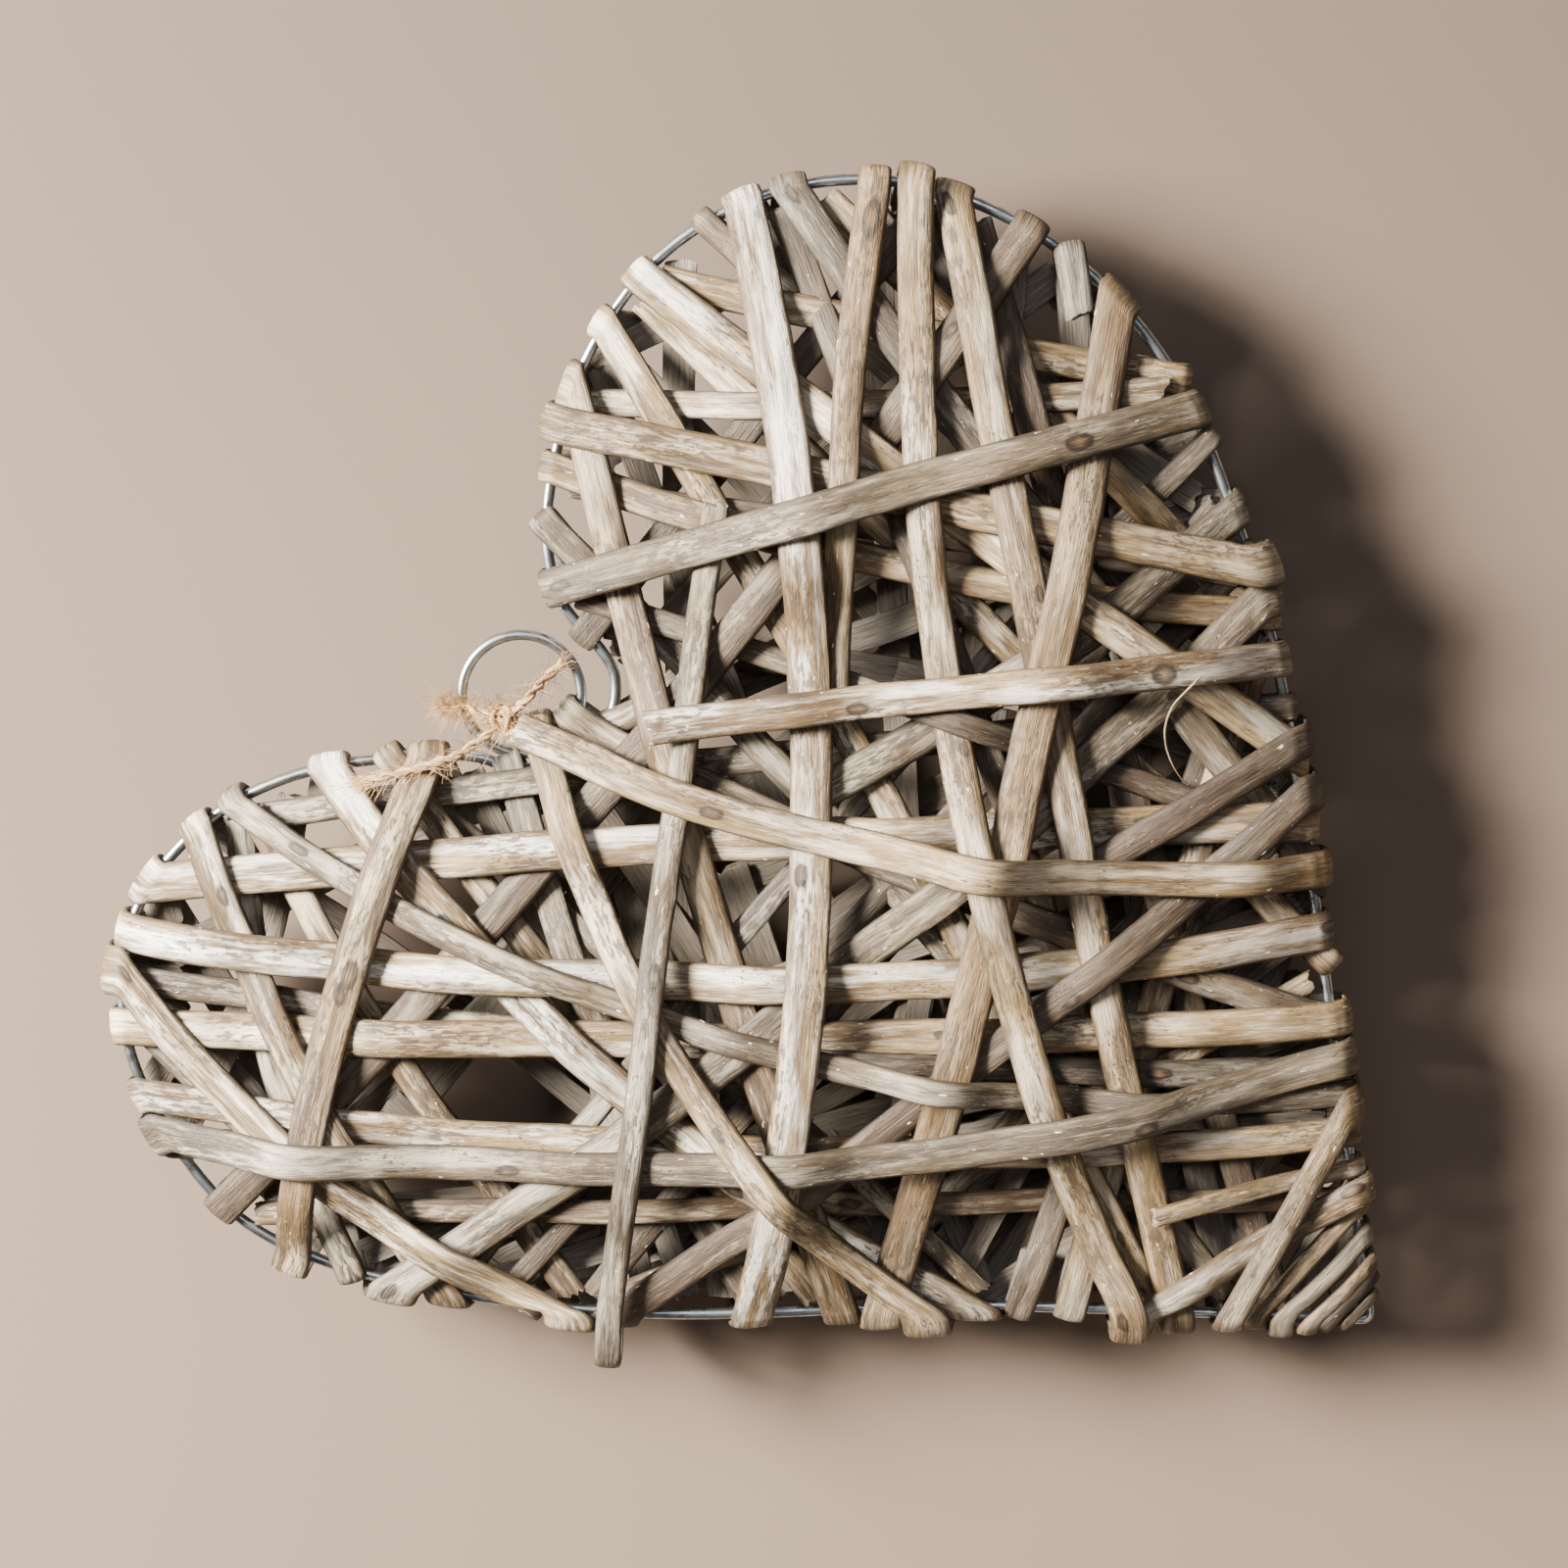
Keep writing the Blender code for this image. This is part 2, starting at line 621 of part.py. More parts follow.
def strip_sections(strip, weave):
    """Lay one strip over the front, round the wire and over the back."""
    rim = weave.rim
    route = front_route(strip, rim)
    headings = headings_of(route)
    half_width = strip.width / 2.0
    halves = [half_width * np.array((-h[1], h[0])) for h in headings]

    end_point, end_along, end_out = rim.at(strip.end)
    halves[-1] = across_wire(end_along, headings[-1], half_width)
    slide = headings[-1] @ end_along
    outward_share = headings[-1] @ end_out
    shift = slide / max(outward_share, SHALLOWEST_EXIT) * FOLD_SLIDE
    shift = float(np.clip(shift, -MOST_SLIDE, MOST_SLIDE))
    end_bend = Bend(end_point, end_along, end_out, halves[-1], shift)
    end_bend.find_reach(weave, strip.slack)
    front_bends = {len(route) - 1: (end_out, end_bend.reach)}
    starts_on_wire = not isinstance(strip.start, tuple)
    if starts_on_wire:
        start_point, start_along, start_out = rim.at(strip.start)
        halves[0] = across_wire(start_along, headings[0], half_width)
        start_bend = Bend(start_point, start_along, start_out, halves[0], 0.0)
        start_bend.find_reach(weave, 0.0)
        front_bends[0] = (start_out, start_bend.reach)
    sections = over_face(weave.front, route, halves, 1, front_bends)

    mirrored = slide * end_along - outward_share * end_out
    back_path = back_route(strip, rim, end_point + end_along * shift, mirrored)
    back_halves = [half_width * np.array((h[1], -h[0])) for h in headings_of(back_path)]
    back_halves[0] = halves[-1]
    if back_halves[1] @ halves[-1] < 0:
        back_halves[1:] = [-half for half in back_halves[1:]]
    back = over_face(weave.back, back_path, back_halves, -1, {0: (end_out, end_bend.reach)})
    rounding = end_bend.sections(weave, sections[-1].left[2], -back[0].left[2])
    sections = sections + rounding + back

    if starts_on_wire:
        heading = -headings[0]
        inward = (heading @ start_along) * start_along - (heading @ start_out) * start_out
        tail_path = start_point + inward * np.linspace(0, TAIL_LENGTH, len(TAIL_TAPER))[:, None]
        tail_halves = [halves[0] * share for share in TAIL_TAPER]
        bends = {0: (start_out, start_bend.reach)}
        tail = over_face(weave.back, tail_path, tail_halves, -1, bends)
        rounding = start_bend.sections(weave, sections[0].left[2], -tail[0].left[2])
        sections = tail[::-1] + rounding[::-1] + sections
    return sections


def solid_from_sections(name, sections):
    """Join a strip's sections to one closed body."""
    mesh = bmesh.new()
    rings = []
    inset = (1.0 - CROWN_SHARE) / 2.0
    for section in sections:
        across = section.right - section.left
        corners = (
            section.left,
            section.right,
            section.right - across * inset + section.outer,
            section.left + across * inset + section.outer,
        )
        rings.append([mesh.verts.new(corner * MM) for corner in corners])
    for near, far in zip(rings, rings[1:]):
        for low, high in ((0, 1), (3, 2)):
            mesh.faces.new((near[low], near[high], far[high]))
            mesh.faces.new((near[low], far[high], far[low]))
        for low, high in ((1, 2), (3, 0)):
            mesh.faces.new((near[low], near[high], far[high]))
            mesh.faces.new((near[low], far[high], far[low]))
    for ring in (rings[0], rings[-1]):
        mesh.faces.new(ring)
    bmesh.ops.recalc_face_normals(mesh, faces=mesh.faces[:])
    bmesh.ops.triangulate(mesh, faces=[face for face in mesh.faces if len(face.verts) > 3])
    data = bpy.data.meshes.new(name)
    mesh.to_mesh(data)
    mesh.free()
    return bpy.data.objects.new(name, data)


def round_wire(name, path, heights, diameter, closed):
    """Make a round wire or twine along a path, with filled ends where it is open."""
    curve = bpy.data.curves.new(name, "CURVE")
    curve.dimensions = "3D"
    curve.bevel_depth = diameter / 2.0 * MM
    curve.bevel_resolution = WIRE_BEVEL_STEPS
    curve.use_fill_caps = not closed
    spline = curve.splines.new("POLY")
    spline.points.add(len(path) - 1)
    for spot, height, point in zip(path, heights, spline.points):
        point.co = (spot[0] * MM, spot[1] * MM, height * MM, 1.0)
    spline.use_cyclic_u = closed
    return bpy.data.objects.new(name, curve)


def knot_height():
    """Give the height of the knot's middle, at which the twine just clears the ring."""
    return (RING_WIRE_DIAMETER + TWINE_DIAMETER) / 2.0 + LAY_GAP


def twine_run(name, face, pairs, reach):
    """Lay a run of twine from beside the knot over the front of the heart.

    Args:
        name: the piece's name.
        face: the front face.
        pairs: the route away from the knot, in hundredths of the heart's width and height.
        reach: the distance from the knot's middle to the start of the run.
    Returns:
        The piece.
    """
    knot = place(KNOT_PLACE)
    onward = place(pairs[0]) - knot
    start = knot + onward / np.linalg.norm(onward) * reach
    path = smooth_path([start] + [place(pair) for pair in pairs], TWINE_CURVE_STEPS)
    path = respaced(path, max(3, round(lengths_along(path)[-1] / TWINE_POINT_SPACING)))
    radius = TWINE_DIAMETER / 2.0
    angles = np.linspace(0, 2 * math.pi, ROUND_STEPS)
    circle = (radius + MARGIN) * np.stack([np.cos(angles), np.sin(angles)], axis=1)
    heights = np.full(len(path), knot_height())
    for i in range(1, len(path)):
        low, high = path[i - 1], path[min(i + 1, len(path) - 1)]
        for share in np.linspace(0, 1, ROUND_STEPS):
            around = low + (high - low) * share + circle
            flat = np.column_stack([around, np.zeros(len(around))])
            heights[i] = max(heights[i], face.above(flat).max() + radius + LAY_GAP)
    return round_wire(name, path, heights, TWINE_DIAMETER, False)


def knot_turn(name):
    """Make the knot: a turn of twine that stands across the run of the twine."""
    knot = place(KNOT_PLACE)
    run = place(TWINE_TAIL[0]) - place(TWINE_LEAD[-1])
    across = np.array((-run[1], run[0])) / np.linalg.norm(run)
    turn = KNOT_TURN_DIAMETER / 2.0
    steps = np.arange(KNOT_STEPS) * 2 * math.pi / KNOT_STEPS
    path = knot + across * turn * np.cos(steps)[:, None]
    return round_wire(name, path, knot_height() + turn * np.sin(steps), TWINE_DIAMETER, True)


def finish_piece(piece, colour, roughness, metallic=0.0):
    """Give a piece its own finish and put it in the scene."""
    piece.data.materials.append(material(piece.name, colour, roughness, metallic))
    bpy.context.scene.collection.objects.link(piece)
    return piece


def rest_on_origin(pieces, measured):
    """Set the pieces so that the middle of the underside is at the origin."""
    bpy.context.view_layer.update()
    corners = []
    graph = bpy.context.evaluated_depsgraph_get()
    for piece in measured:
        shape = piece.evaluated_get(graph).to_mesh()
        corners.extend(vertex.co.copy() for vertex in shape.vertices)
    spots = np.array(corners)
    low, high = spots.min(axis=0), spots.max(axis=0)
    centre = bpy.data.objects.new("heart_centre", None)
    centre.location = (-(low[0] + high[0]) / 2, -(low[1] + high[1]) / 2, -low[2])
    bpy.context.scene.collection.objects.link(centre)
    for piece in pieces:
        piece.parent = centre


def main():
    """Build the heart."""
    clear_scene()
    weave = Weave()
    rim_path = smooth_path(outline(), RIM_STEPS)[:-1]
    wire = round_wire("wire_frame", rim_path, np.zeros(len(rim_path)), WIRE_DIAMETER, True)
    finish_piece(wire, STEEL_COLOUR, 0.35, 1.0)
    ring = round_wire("hanging_ring", ring_path(RING_STATIONS), np.zeros(RING_STATIONS),
                      RING_WIRE_DIAMETER, True)
    finish_piece(ring, STEEL_COLOUR, 0.3, 1.0)
    body = [wire, ring]
    for i, strip in enumerate(STRIPS):
        piece = solid_from_sections(f"willow_strip_{i + 1:02d}", strip_sections(strip, weave))
        body.append(finish_piece(piece, WILLOW_COLOURS[i % len(WILLOW_COLOURS)], 0.75))
    beside = TWINE_DIAMETER / 2.0 + KNOT_GAP
    above = KNOT_TURN_DIAMETER / 2.0 + beside
    twine = [
        twine_run("twine_lead", weave.front, TWINE_LEAD[::-1], beside),
        knot_turn("twine_knot"),
        twine_run("twine_tail", weave.front, TWINE_TAIL, beside),
        twine_run("twine_short_end", weave.front, TWINE_SHORT_END, above),
    ]
    for piece in twine:
        finish_piece(piece, JUTE_COLOUR, 0.9)
    rest_on_origin(body + twine, body)


main()
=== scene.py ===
"""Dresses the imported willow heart: bark, split wood and grain on every strip, zinc on the wire,
hairy two-ply jute for the twine, and the plain studio that it is seen in.

Lengths inside the classes are in millimetres unless a name says otherwise.
"""

import json
import logging
import math
from dataclasses import dataclass, field
from enum import Enum
from functools import partial
from itertools import combinations, permutations

import bmesh
import bpy
import numpy as np
from mathutils import Matrix, Vector


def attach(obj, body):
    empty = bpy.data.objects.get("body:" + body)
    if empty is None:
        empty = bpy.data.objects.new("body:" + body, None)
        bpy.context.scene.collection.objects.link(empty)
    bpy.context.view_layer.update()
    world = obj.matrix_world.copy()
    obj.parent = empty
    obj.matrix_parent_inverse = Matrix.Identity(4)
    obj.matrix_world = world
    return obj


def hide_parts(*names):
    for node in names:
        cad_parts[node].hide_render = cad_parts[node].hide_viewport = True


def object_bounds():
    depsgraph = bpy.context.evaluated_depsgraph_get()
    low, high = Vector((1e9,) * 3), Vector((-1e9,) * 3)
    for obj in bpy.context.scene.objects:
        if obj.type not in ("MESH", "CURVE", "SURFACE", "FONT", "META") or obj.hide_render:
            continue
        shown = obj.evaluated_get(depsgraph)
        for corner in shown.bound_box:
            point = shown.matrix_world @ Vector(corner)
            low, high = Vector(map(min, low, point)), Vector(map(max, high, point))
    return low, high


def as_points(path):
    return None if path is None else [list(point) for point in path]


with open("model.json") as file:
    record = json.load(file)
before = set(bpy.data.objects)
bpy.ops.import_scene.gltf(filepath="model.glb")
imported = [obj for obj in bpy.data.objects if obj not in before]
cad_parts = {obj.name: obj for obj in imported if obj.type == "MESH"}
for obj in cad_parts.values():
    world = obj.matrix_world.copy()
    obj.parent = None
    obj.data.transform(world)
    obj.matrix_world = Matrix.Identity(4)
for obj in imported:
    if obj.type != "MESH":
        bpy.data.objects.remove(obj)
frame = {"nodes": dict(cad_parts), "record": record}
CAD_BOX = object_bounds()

LOG = logging.getLogger("willow_heart")
MM = 0.001
SAME_PLACE = 1e-6
"""Points nearer than this, in metres, are one point."""

FULL_CROWN = 1.25
"""The most that a strip's round adds to its flat thickness, as a factor."""

UV_UNIT = 10.0
"""Millimetres to one unit of a piece's own UV map."""

ACROSS = (0.6054, -0.7957, 0.0)
UPWARDS = (0.7957, 0.6054, 0.0)
"""The picture's way across and its way up, on the floor."""

Socket = bpy.types.NodeSocket
Mask = float | Socket | tuple[Socket, float, float]
"""A share, a value of 0 to 1, or a value with the limits between which it rises from 0 to 1."""


# Colour and nodes

def paint(colour: str) -> tuple[float, float, float, float]:
    """Turn an sRGB hex colour to the linear values that a shader takes.

    Args:
        colour: six hex digits.
    Returns:
        Red, green, blue and a full alpha.
    """
    channels = [int(colour[i:i + 2], 16) / 255.0 for i in (0, 2, 4)]
    linear = [c / 12.92 if c <= 0.04045 else ((c + 0.055) / 1.055) ** 2.4 for c in channels]
    return (linear[0], linear[1], linear[2], 1.0)


class Paintwork:
    """A node material while it is being made."""

    def __init__(self, name: str) -> None:
        """Start with a plain surface."""
        self.made = bpy.data.materials.new(name)
        self.made.use_nodes = True
        self.tree = self.made.node_tree
        self.surface = self.tree.nodes["Principled BSDF"]

    def feed(self, node: bpy.types.Node, inputs: dict[int | str, object]) -> None:
        """Set or link a node's inputs.

        Args:
            node: the node.
            inputs: input name or number to a value, or to the socket that feeds it.
        """
        for name, value in inputs.items():
            if isinstance(value, Socket):
                self.tree.links.new(value, node.inputs[name])
            else:
                node.inputs[name].default_value = value

    def node(self, kind: str, inputs: dict[int | str, object], output: int | str = 0,
             stops: tuple[tuple[float, str], ...] = (), **settings: object) -> Socket:
        """Add a node with its settings and links.

        Args:
            kind: the node's type, without its ShaderNode start.
            inputs: what its inputs get, as for feed.
            output: the name or number of the output that is wanted.
            stops: place and hex colour of each stop, where the node is a colour ramp.
            settings: the node's own properties.
        Returns:
            That output.
        """
        node = self.tree.nodes.new("ShaderNode" + kind)
        for name, value in settings.items():
            setattr(node, name, value)
        self.feed(node, inputs)
        for _ in stops[2:]:
            node.color_ramp.elements.new(0.5)
        for i, (place, colour) in enumerate(stops):
            node.color_ramp.elements[i].position = place
            node.color_ramp.elements[i].color = paint(colour)
        return node.outputs[output]

    def overlap(self, *masks: Mask) -> Mask:
        """Give where all of some masks are.

        Args:
            masks: the masks.
        Returns:
            Their product.
        """
        found = None
        for mask in masks:
            if isinstance(mask, tuple):
                mask = self.node("MapRange", dict(enumerate(mask)), interpolation_type="SMOOTHSTEP")
            found = mask if found is None else self.node("Math", {0: found, 1: mask},
                                                         operation="MULTIPLY")
        return found

    def lay(self, under: Socket, over: str | Socket, *masks: Mask) -> Socket:
        """Lay a colour over another.

        Args:
            under: the colour so far.
            over: the new colour, as a hex value or a socket.
            masks: where and how much of it shows.
        Returns:
            The two together.
        """
        over = paint(over) if isinstance(over, str) else over
        return self.node("Mix", {0: self.overlap(*masks), 6: under, 7: over}, 2, data_type="RGBA")

    def done(self, inputs: dict[int | str, object]) -> bpy.types.Material:
        """Feed the surface and give the material."""
        self.feed(self.surface, inputs)
        return self.made


# Finishes

@dataclass(frozen=True)
class WillowFinish:
    """Split willow, dried and brushed with a thin grey-white wash, with painted highlights in the same
    white laid over it.

    The outer face keeps the rod's skin: long soft streaks, dark fibres, flakes of bark and small
    buds. The split face is duller and greyer. Dry wood, IOR 1.52, nearly matt.
    """

    name: str
    pale: str
    deep: str
    # This white is the real wash's and also paints the highlights; the wash share below is how much of
    # both shows
    wash_and_highlight: str
    stain: str
    wash_and_highlight_share: float
    bark_share: float
    split: str = "8E877C"
    split_deep: str = "574E43"
    bark: str = "43372B"
    speck: str = "30261C"
    fibre: str = "4E3F30"
    bare: str = "F1E6D0"
    crack: str = "2B221A"
    bud_rim: str = "1E1710"
    bud_slope: str = "33281D"
    bud_middle: str = "6B5439"

    def grain(self, work: Paintwork, place: Socket, width: float, length: float, detail: float,
              offset: float) -> Socket:
        """Add noise drawn out along the strip.

        Args:
            work: the material.
            place: the strip's own UV.
            width: millimetres across one feature.
            length: millimetres along one feature.
            detail: octaves of the noise.
            offset: moves the pattern, so that two layers don't agree.
        Returns:
            The noise, 0 to 1.
        """
        scaled = work.node("Mapping", {
            "Vector": place, "Location": (offset, offset * 1.7, offset * 0.6),
            "Scale": (UV_UNIT / width, UV_UNIT / length, 1.0)})
        return work.node("TexNoise", {"Vector": scaled, "Scale": 1.0, "Detail": detail,
                                      "Roughness": 0.6})

    def build(self) -> bpy.types.Material:
        """Make it.

        Returns:
            The material.
        """
        work = Paintwork(self.name)
        grain = partial(self.grain, work, work.node("UVMap", {}, uv_map="grain"))
        knot, split, edge, tone = (work.node("Attribute", {}, "Fac", attribute_name=name)
                                   for name in ("bud", "split", "edge", "tone"))
        skin = work.node("Math", {0: 1.0, 1: split}, operation="SUBTRACT")

        # Growth: slow change from pale to deep along the rod, 4 by 45 mm
        broad = work.node("Math", {0: tone, 1: 0.16, 2: grain(4.0, 45.0, 3.0, 3.1)},
                          operation="MULTIPLY_ADD")
        colour = work.node("ValToRGB", {0: broad}, stops=((0.36, self.pale), (0.64, self.deep)))

        # Wash: chalky streaks 1.6 by 20 mm, and painted highlights in its white, long patches 6 by 42
        # mm, all on the raised middle;
        # and painted light that is strongest on the lit side of the heart and fades across it
        painted_highlight_patches = work.overlap((grain(6.0, 42.0, 4.0, 107.9), 0.47, 0.60))
        chalk_and_highlight = work.overlap(0.6, (grain(1.6, 20.0, 5.0, 37.3), 0.46, 0.68))
        chalk_and_highlight = work.node("Math", {0: chalk_and_highlight, 1: painted_highlight_patches}, operation="MAXIMUM")
        # Painted light: the white is strongest on the lit side of the heart and fades across it
        over = work.node("VectorMath", {0: work.node("TexCoord", {}, "Object"), 1: ACROSS}, "Value",
                         operation="DOT_PRODUCT")
        painted_side_light = work.node("MapRange", {0: over, 1: -0.14, 2: 0.12, 3: 1.0, 4: 0.22})
        raised = work.node("Math", {0: edge, 1: -0.8, 2: 1.0}, operation="MULTIPLY_ADD")
        colour = work.lay(colour, self.wash_and_highlight, self.wash_and_highlight_share, chalk_and_highlight, raised, painted_side_light, skin)

        # Fibres: brown streaks 0.42 by 8 mm, and finer ones 0.2 by 4.5 mm, dark and pale
        streak = grain(0.42, 8.0, 6.0, 11.7)
        fine = grain(0.2, 4.5, 4.0, 23.9)
        colour = work.lay(colour, self.fibre, 0.52, (streak, 0.50, 0.66))
        colour = work.lay(colour, self.stain, 0.45, (fine, 0.54, 0.66))
        colour = work.lay(colour, self.wash_and_highlight, 0.26, (fine, 0.44, 0.30))

        # Weathering: brown-grey stains, 2.4 by 18 mm, stronger towards the edges
        worn = work.node("Math", {0: edge, 1: 0.35, 2: 0.52}, operation="MULTIPLY_ADD")
        colour = work.lay(colour, self.stain, (grain(2.4, 18.0, 6.0, 51.1), 0.46, 0.66), worn)
        # A dark rim along each edge: partly the fibrous edges' own darker colour, partly painted shade
        # where the rounded strip turns from the light
        rim = work.node("Math", {0: streak, 1: 0.9, 2: edge}, operation="MULTIPLY_ADD")
        colour = work.lay(colour, self.stain, 0.72, (rim, 0.95, 1.45))

        # Bark that the peeling left: sharp flakes 0.9 by 3.6 mm, in patches
        least = 0.565 - 0.04 * self.bark_share
        flake = work.overlap((grain(0.9, 3.6, 8.0, 71.9), least, least + 0.035),
                             (grain(9.0, 34.0, 2.0, 63.7), 0.44, 0.60), skin)
        colour = work.lay(colour, self.bark, 0.80, flake)

        # Dark specks 0.5 by 1.4 mm where the bark clung, in clusters
        colour = work.lay(colour, self.speck, 0.85, (grain(0.5, 1.4, 3.0, 151.7), 0.56, 0.61),
                          (grain(6.0, 16.0, 2.0, 131.3), 0.56, 0.66), skin)

        # Chips where the skin came off and the wood below is nearly white, 1.1 by 4 mm
        colour = work.lay(colour, self.bare, 0.75, (grain(1.1, 4.0, 3.0, 97.1), 0.70, 0.73), skin)

        # Small dark cracks along the fibres, 0.35 by 3.5 mm
        crack = work.overlap((grain(0.35, 3.5, 2.0, 83.3), 0.68, 0.74))
        colour = work.lay(colour, self.crack, 0.85, crack)

        # The split face is grey and stringy
        grey = work.node("ValToRGB", {0: streak}, stops=((0.34, self.split), (0.66, self.split_deep)))
        colour = work.lay(colour, grey, 0.78, split)

        # Buds: a dark rim round a brown scar
        scar = work.node("ValToRGB", {0: knot}, stops=(
            (0.0, self.stain), (0.42, self.bud_rim), (0.62, self.bud_slope), (0.95, self.bud_middle)))
        colour = work.lay(colour, scar, 0.85, (knot, 0.18, 0.40))

        rough = work.node("MapRange", {0: streak, 1: 0.3, 2: 0.8, 3: 0.44, 4: 0.80})
        height = work.node("Math", {0: fine, 1: -0.5}, operation="MULTIPLY")
        for layer, rise in ((streak, -1.2), (flake, 0.35), (crack, -0.8)):
            height = work.node("Math", {0: layer, 1: rise, 2: height}, operation="MULTIPLY_ADD")
        bump = work.node("Bump", {"Height": height, "Strength": 0.9, "Distance": 0.24 * MM})
        return work.done({"Base Color": colour, "Roughness": rough, "Normal": bump, "IOR": 1.52,
                          "Specular IOR Level": 0.45})


class Willow(Enum):
    """The finishes that the strips of the heart show."""

    CREAM = WillowFinish("willow, skin washed pale", "957E58", "5D492D", "FFFBF0", "3C2E1B", 0.95, 1.2)
    STRAW = WillowFinish("willow, straw coloured", "7F6945", "4B3A23", "F6EAD4", "352817", 0.80, 1.2)
    HONEY = WillowFinish("willow, honey coloured", "715A3A", "41301D", "E2D1B0", "2D2114", 0.62, 1.0)
    DRIFT = WillowFinish("willow, weathered grey", "60523C", "393026", "DED5C2", "282119", 0.60, 1.7)
    UMBER = WillowFinish("willow, bark left on", "483829", "2D2217", "B4A890", "1F1811", 0.45, 2.0)


@dataclass(frozen=True)
class ZincFinish:
    """Drawn steel wire with a dull hot-dip zinc coat: a blue-grey metal, cloudy where it is dull."""

    name: str = "galvanised steel wire"
    bright: str = "CDD2D5"
    dull: str = "8E979C"
    cloud_size: float = 3.0
    scuff_size: float = 0.5

    def build(self) -> bpy.types.Material:
        """Make it, with clouds of oxide in the coat and fine scuffs.

        Returns:
            The material.
        """
        work = Paintwork(self.name)
        place = work.node("TexCoord", {}, "Object")
        cloud = work.node("TexNoise", {"Vector": place, "Scale": 1.0 / (self.cloud_size * MM),
                                       "Detail": 4.0})
        scuff = work.node("TexNoise", {"Vector": place, "Scale": 1.0 / (self.scuff_size * MM),
                                       "Detail": 2.0})
        colour = work.node("ValToRGB", {0: cloud}, stops=((0.35, self.dull), (0.65, self.bright)))
        rough = work.node("MapRange", {0: cloud, 1: 0.35, 2: 0.65, 3: 0.40, 4: 0.24})
        bump = work.node("Bump", {"Height": scuff, "Strength": 0.25, "Distance": 0.05 * MM})
        return work.done({"Base Color": colour, "Metallic": 1.0, "Roughness": rough, "Normal": bump})


@dataclass(frozen=True)
class JuteFinish:
    """Undyed jute, two loose plies: dull, hairy, peach-brown, with paler fibres on top."""

    name: str = "undyed jute twine"
    body: str = "AC8759"
    light: str = "D8C193"
    deep: str = "76542F"
    fibre_width: float = 0.18
    """Real ones are 0.12 mm, too fine to show."""

    fibre_length: float = 4.0

    def build(self) -> bpy.types.Material:
        """Make it.

        Returns:
            The material.
        """
        work = Paintwork(self.name)
        scaled = work.node("Mapping", {
            "Vector": work.node("UVMap", {}, uv_map="grain"),
            "Scale": (UV_UNIT / self.fibre_width, UV_UNIT / self.fibre_length, 1.0)})
        fibre = work.node("TexNoise", {"Vector": scaled, "Scale": 1.0, "Detail": 3.0})
        colour = work.node("ValToRGB", {0: fibre}, stops=(
            (0.30, self.deep), (0.50, self.body), (0.70, self.light)))
        bump = work.node("Bump", {"Height": fibre, "Strength": 0.8, "Distance": 0.15 * MM})
        return work.done({"Base Color": colour, "Roughness": 0.88, "Sheen Weight": 0.25,
                          "Sheen Roughness": 0.5, "Normal": bump})


@dataclass(frozen=True)
class FloorFinish:
    """Plain studio card, matt, with painted shade that darkens it towards the picture's top."""

    name: str = "studio card"
    light: str = "7A6A5D"
    shade: str = "564B42"
    fades_over: tuple[float, float] = (-0.3, 0.4)
    # Metres up the picture between which the painted shade darkens it.
    """Metres up the picture between which it darkens."""

    def build(self) -> bpy.types.Material:
        """Make it.

        Returns:
            The material.
        """
        work = Paintwork(self.name)
        place = work.node("TexCoord", {}, "Object")
        cloud = work.node("TexNoise", {"Vector": place, "Scale": 3.0})
        up = work.node("VectorMath", {0: place, 1: UPWARDS}, "Value", operation="DOT_PRODUCT")
        # Painted shade: darker towards the picture's top, over a faint mottle
        mottle_and_shade = work.node("Math", {0: cloud, 1: 0.12, 2: work.overlap((up, *self.fades_over))},
                         operation="MULTIPLY_ADD")
        colour = work.node("ValToRGB", {0: mottle_and_shade}, stops=((0.0, self.light), (1.0, self.shade)))
        return work.done({"Base Color": colour, "Roughness": 0.92})


# Curves and meshes

def through(values: np.ndarray, stations: np.ndarray, wanted: np.ndarray) -> np.ndarray:
    """Pass a smooth curve through values at uneven stations.

    Args:
        values: one row for each station.
        stations: rising distances.
        wanted: the distances to read it at.
    Returns:
        One row for each wanted distance.
    """
    steps = np.diff(stations)
    slopes = np.diff(values, axis=0) / steps[:, None]
    tangents = np.vstack([slopes[:1], np.zeros((len(values) - 2, values.shape[1])), slopes[-1:]])
    weight = (steps[:-1] + steps[1:])[:, None]
    tangents[1:-1] = (slopes[:-1] * steps[1:, None] + slopes[1:] * steps[:-1, None]) / weight
    i = np.clip(np.searchsorted(stations, wanted, side="right") - 1, 0, len(steps) - 1)
    t = ((wanted - stations[i]) / steps[i])[:, None]
    h = steps[i][:, None]
    return ((2 * t**3 - 3 * t**2 + 1) * values[i] + (t**3 - 2 * t**2 + t) * h * tangents[i]
            + (3 * t**2 - 2 * t**3) * values[i + 1] + (t**3 - t**2) * h * tangents[i + 1])


def along_path(path: np.ndarray) -> np.ndarray:
    """Give the distance along a path to each of its points."""
    return np.concatenate([[0.0], np.cumsum(np.linalg.norm(np.diff(path, axis=0), axis=1))])


def unit(vectors: np.ndarray) -> np.ndarray:
    """Give vectors the length of one."""
    return vectors / np.maximum(np.linalg.norm(vectors, axis=-1, keepdims=True), 1e-9)


def drift(rng: np.random.Generator, along: np.ndarray, spacing: float) -> np.ndarray:
    """Draw a smooth random wander.

    Args:
        rng: the seeded source.
        along: the distances to read it at.
        spacing: the distance from one turn of it to the next.
    Returns:
        Values of about -1 to 1.
    """
    count = int(along[-1] / spacing) + 4
    stations = spacing * (np.arange(count) - 1 + rng.random())
    stations -= stations[0] + spacing * 0.5
    knots = rng.uniform(-1.0, 1.0, (count, 1))
    return through(knots, stations, along)[:, 0]


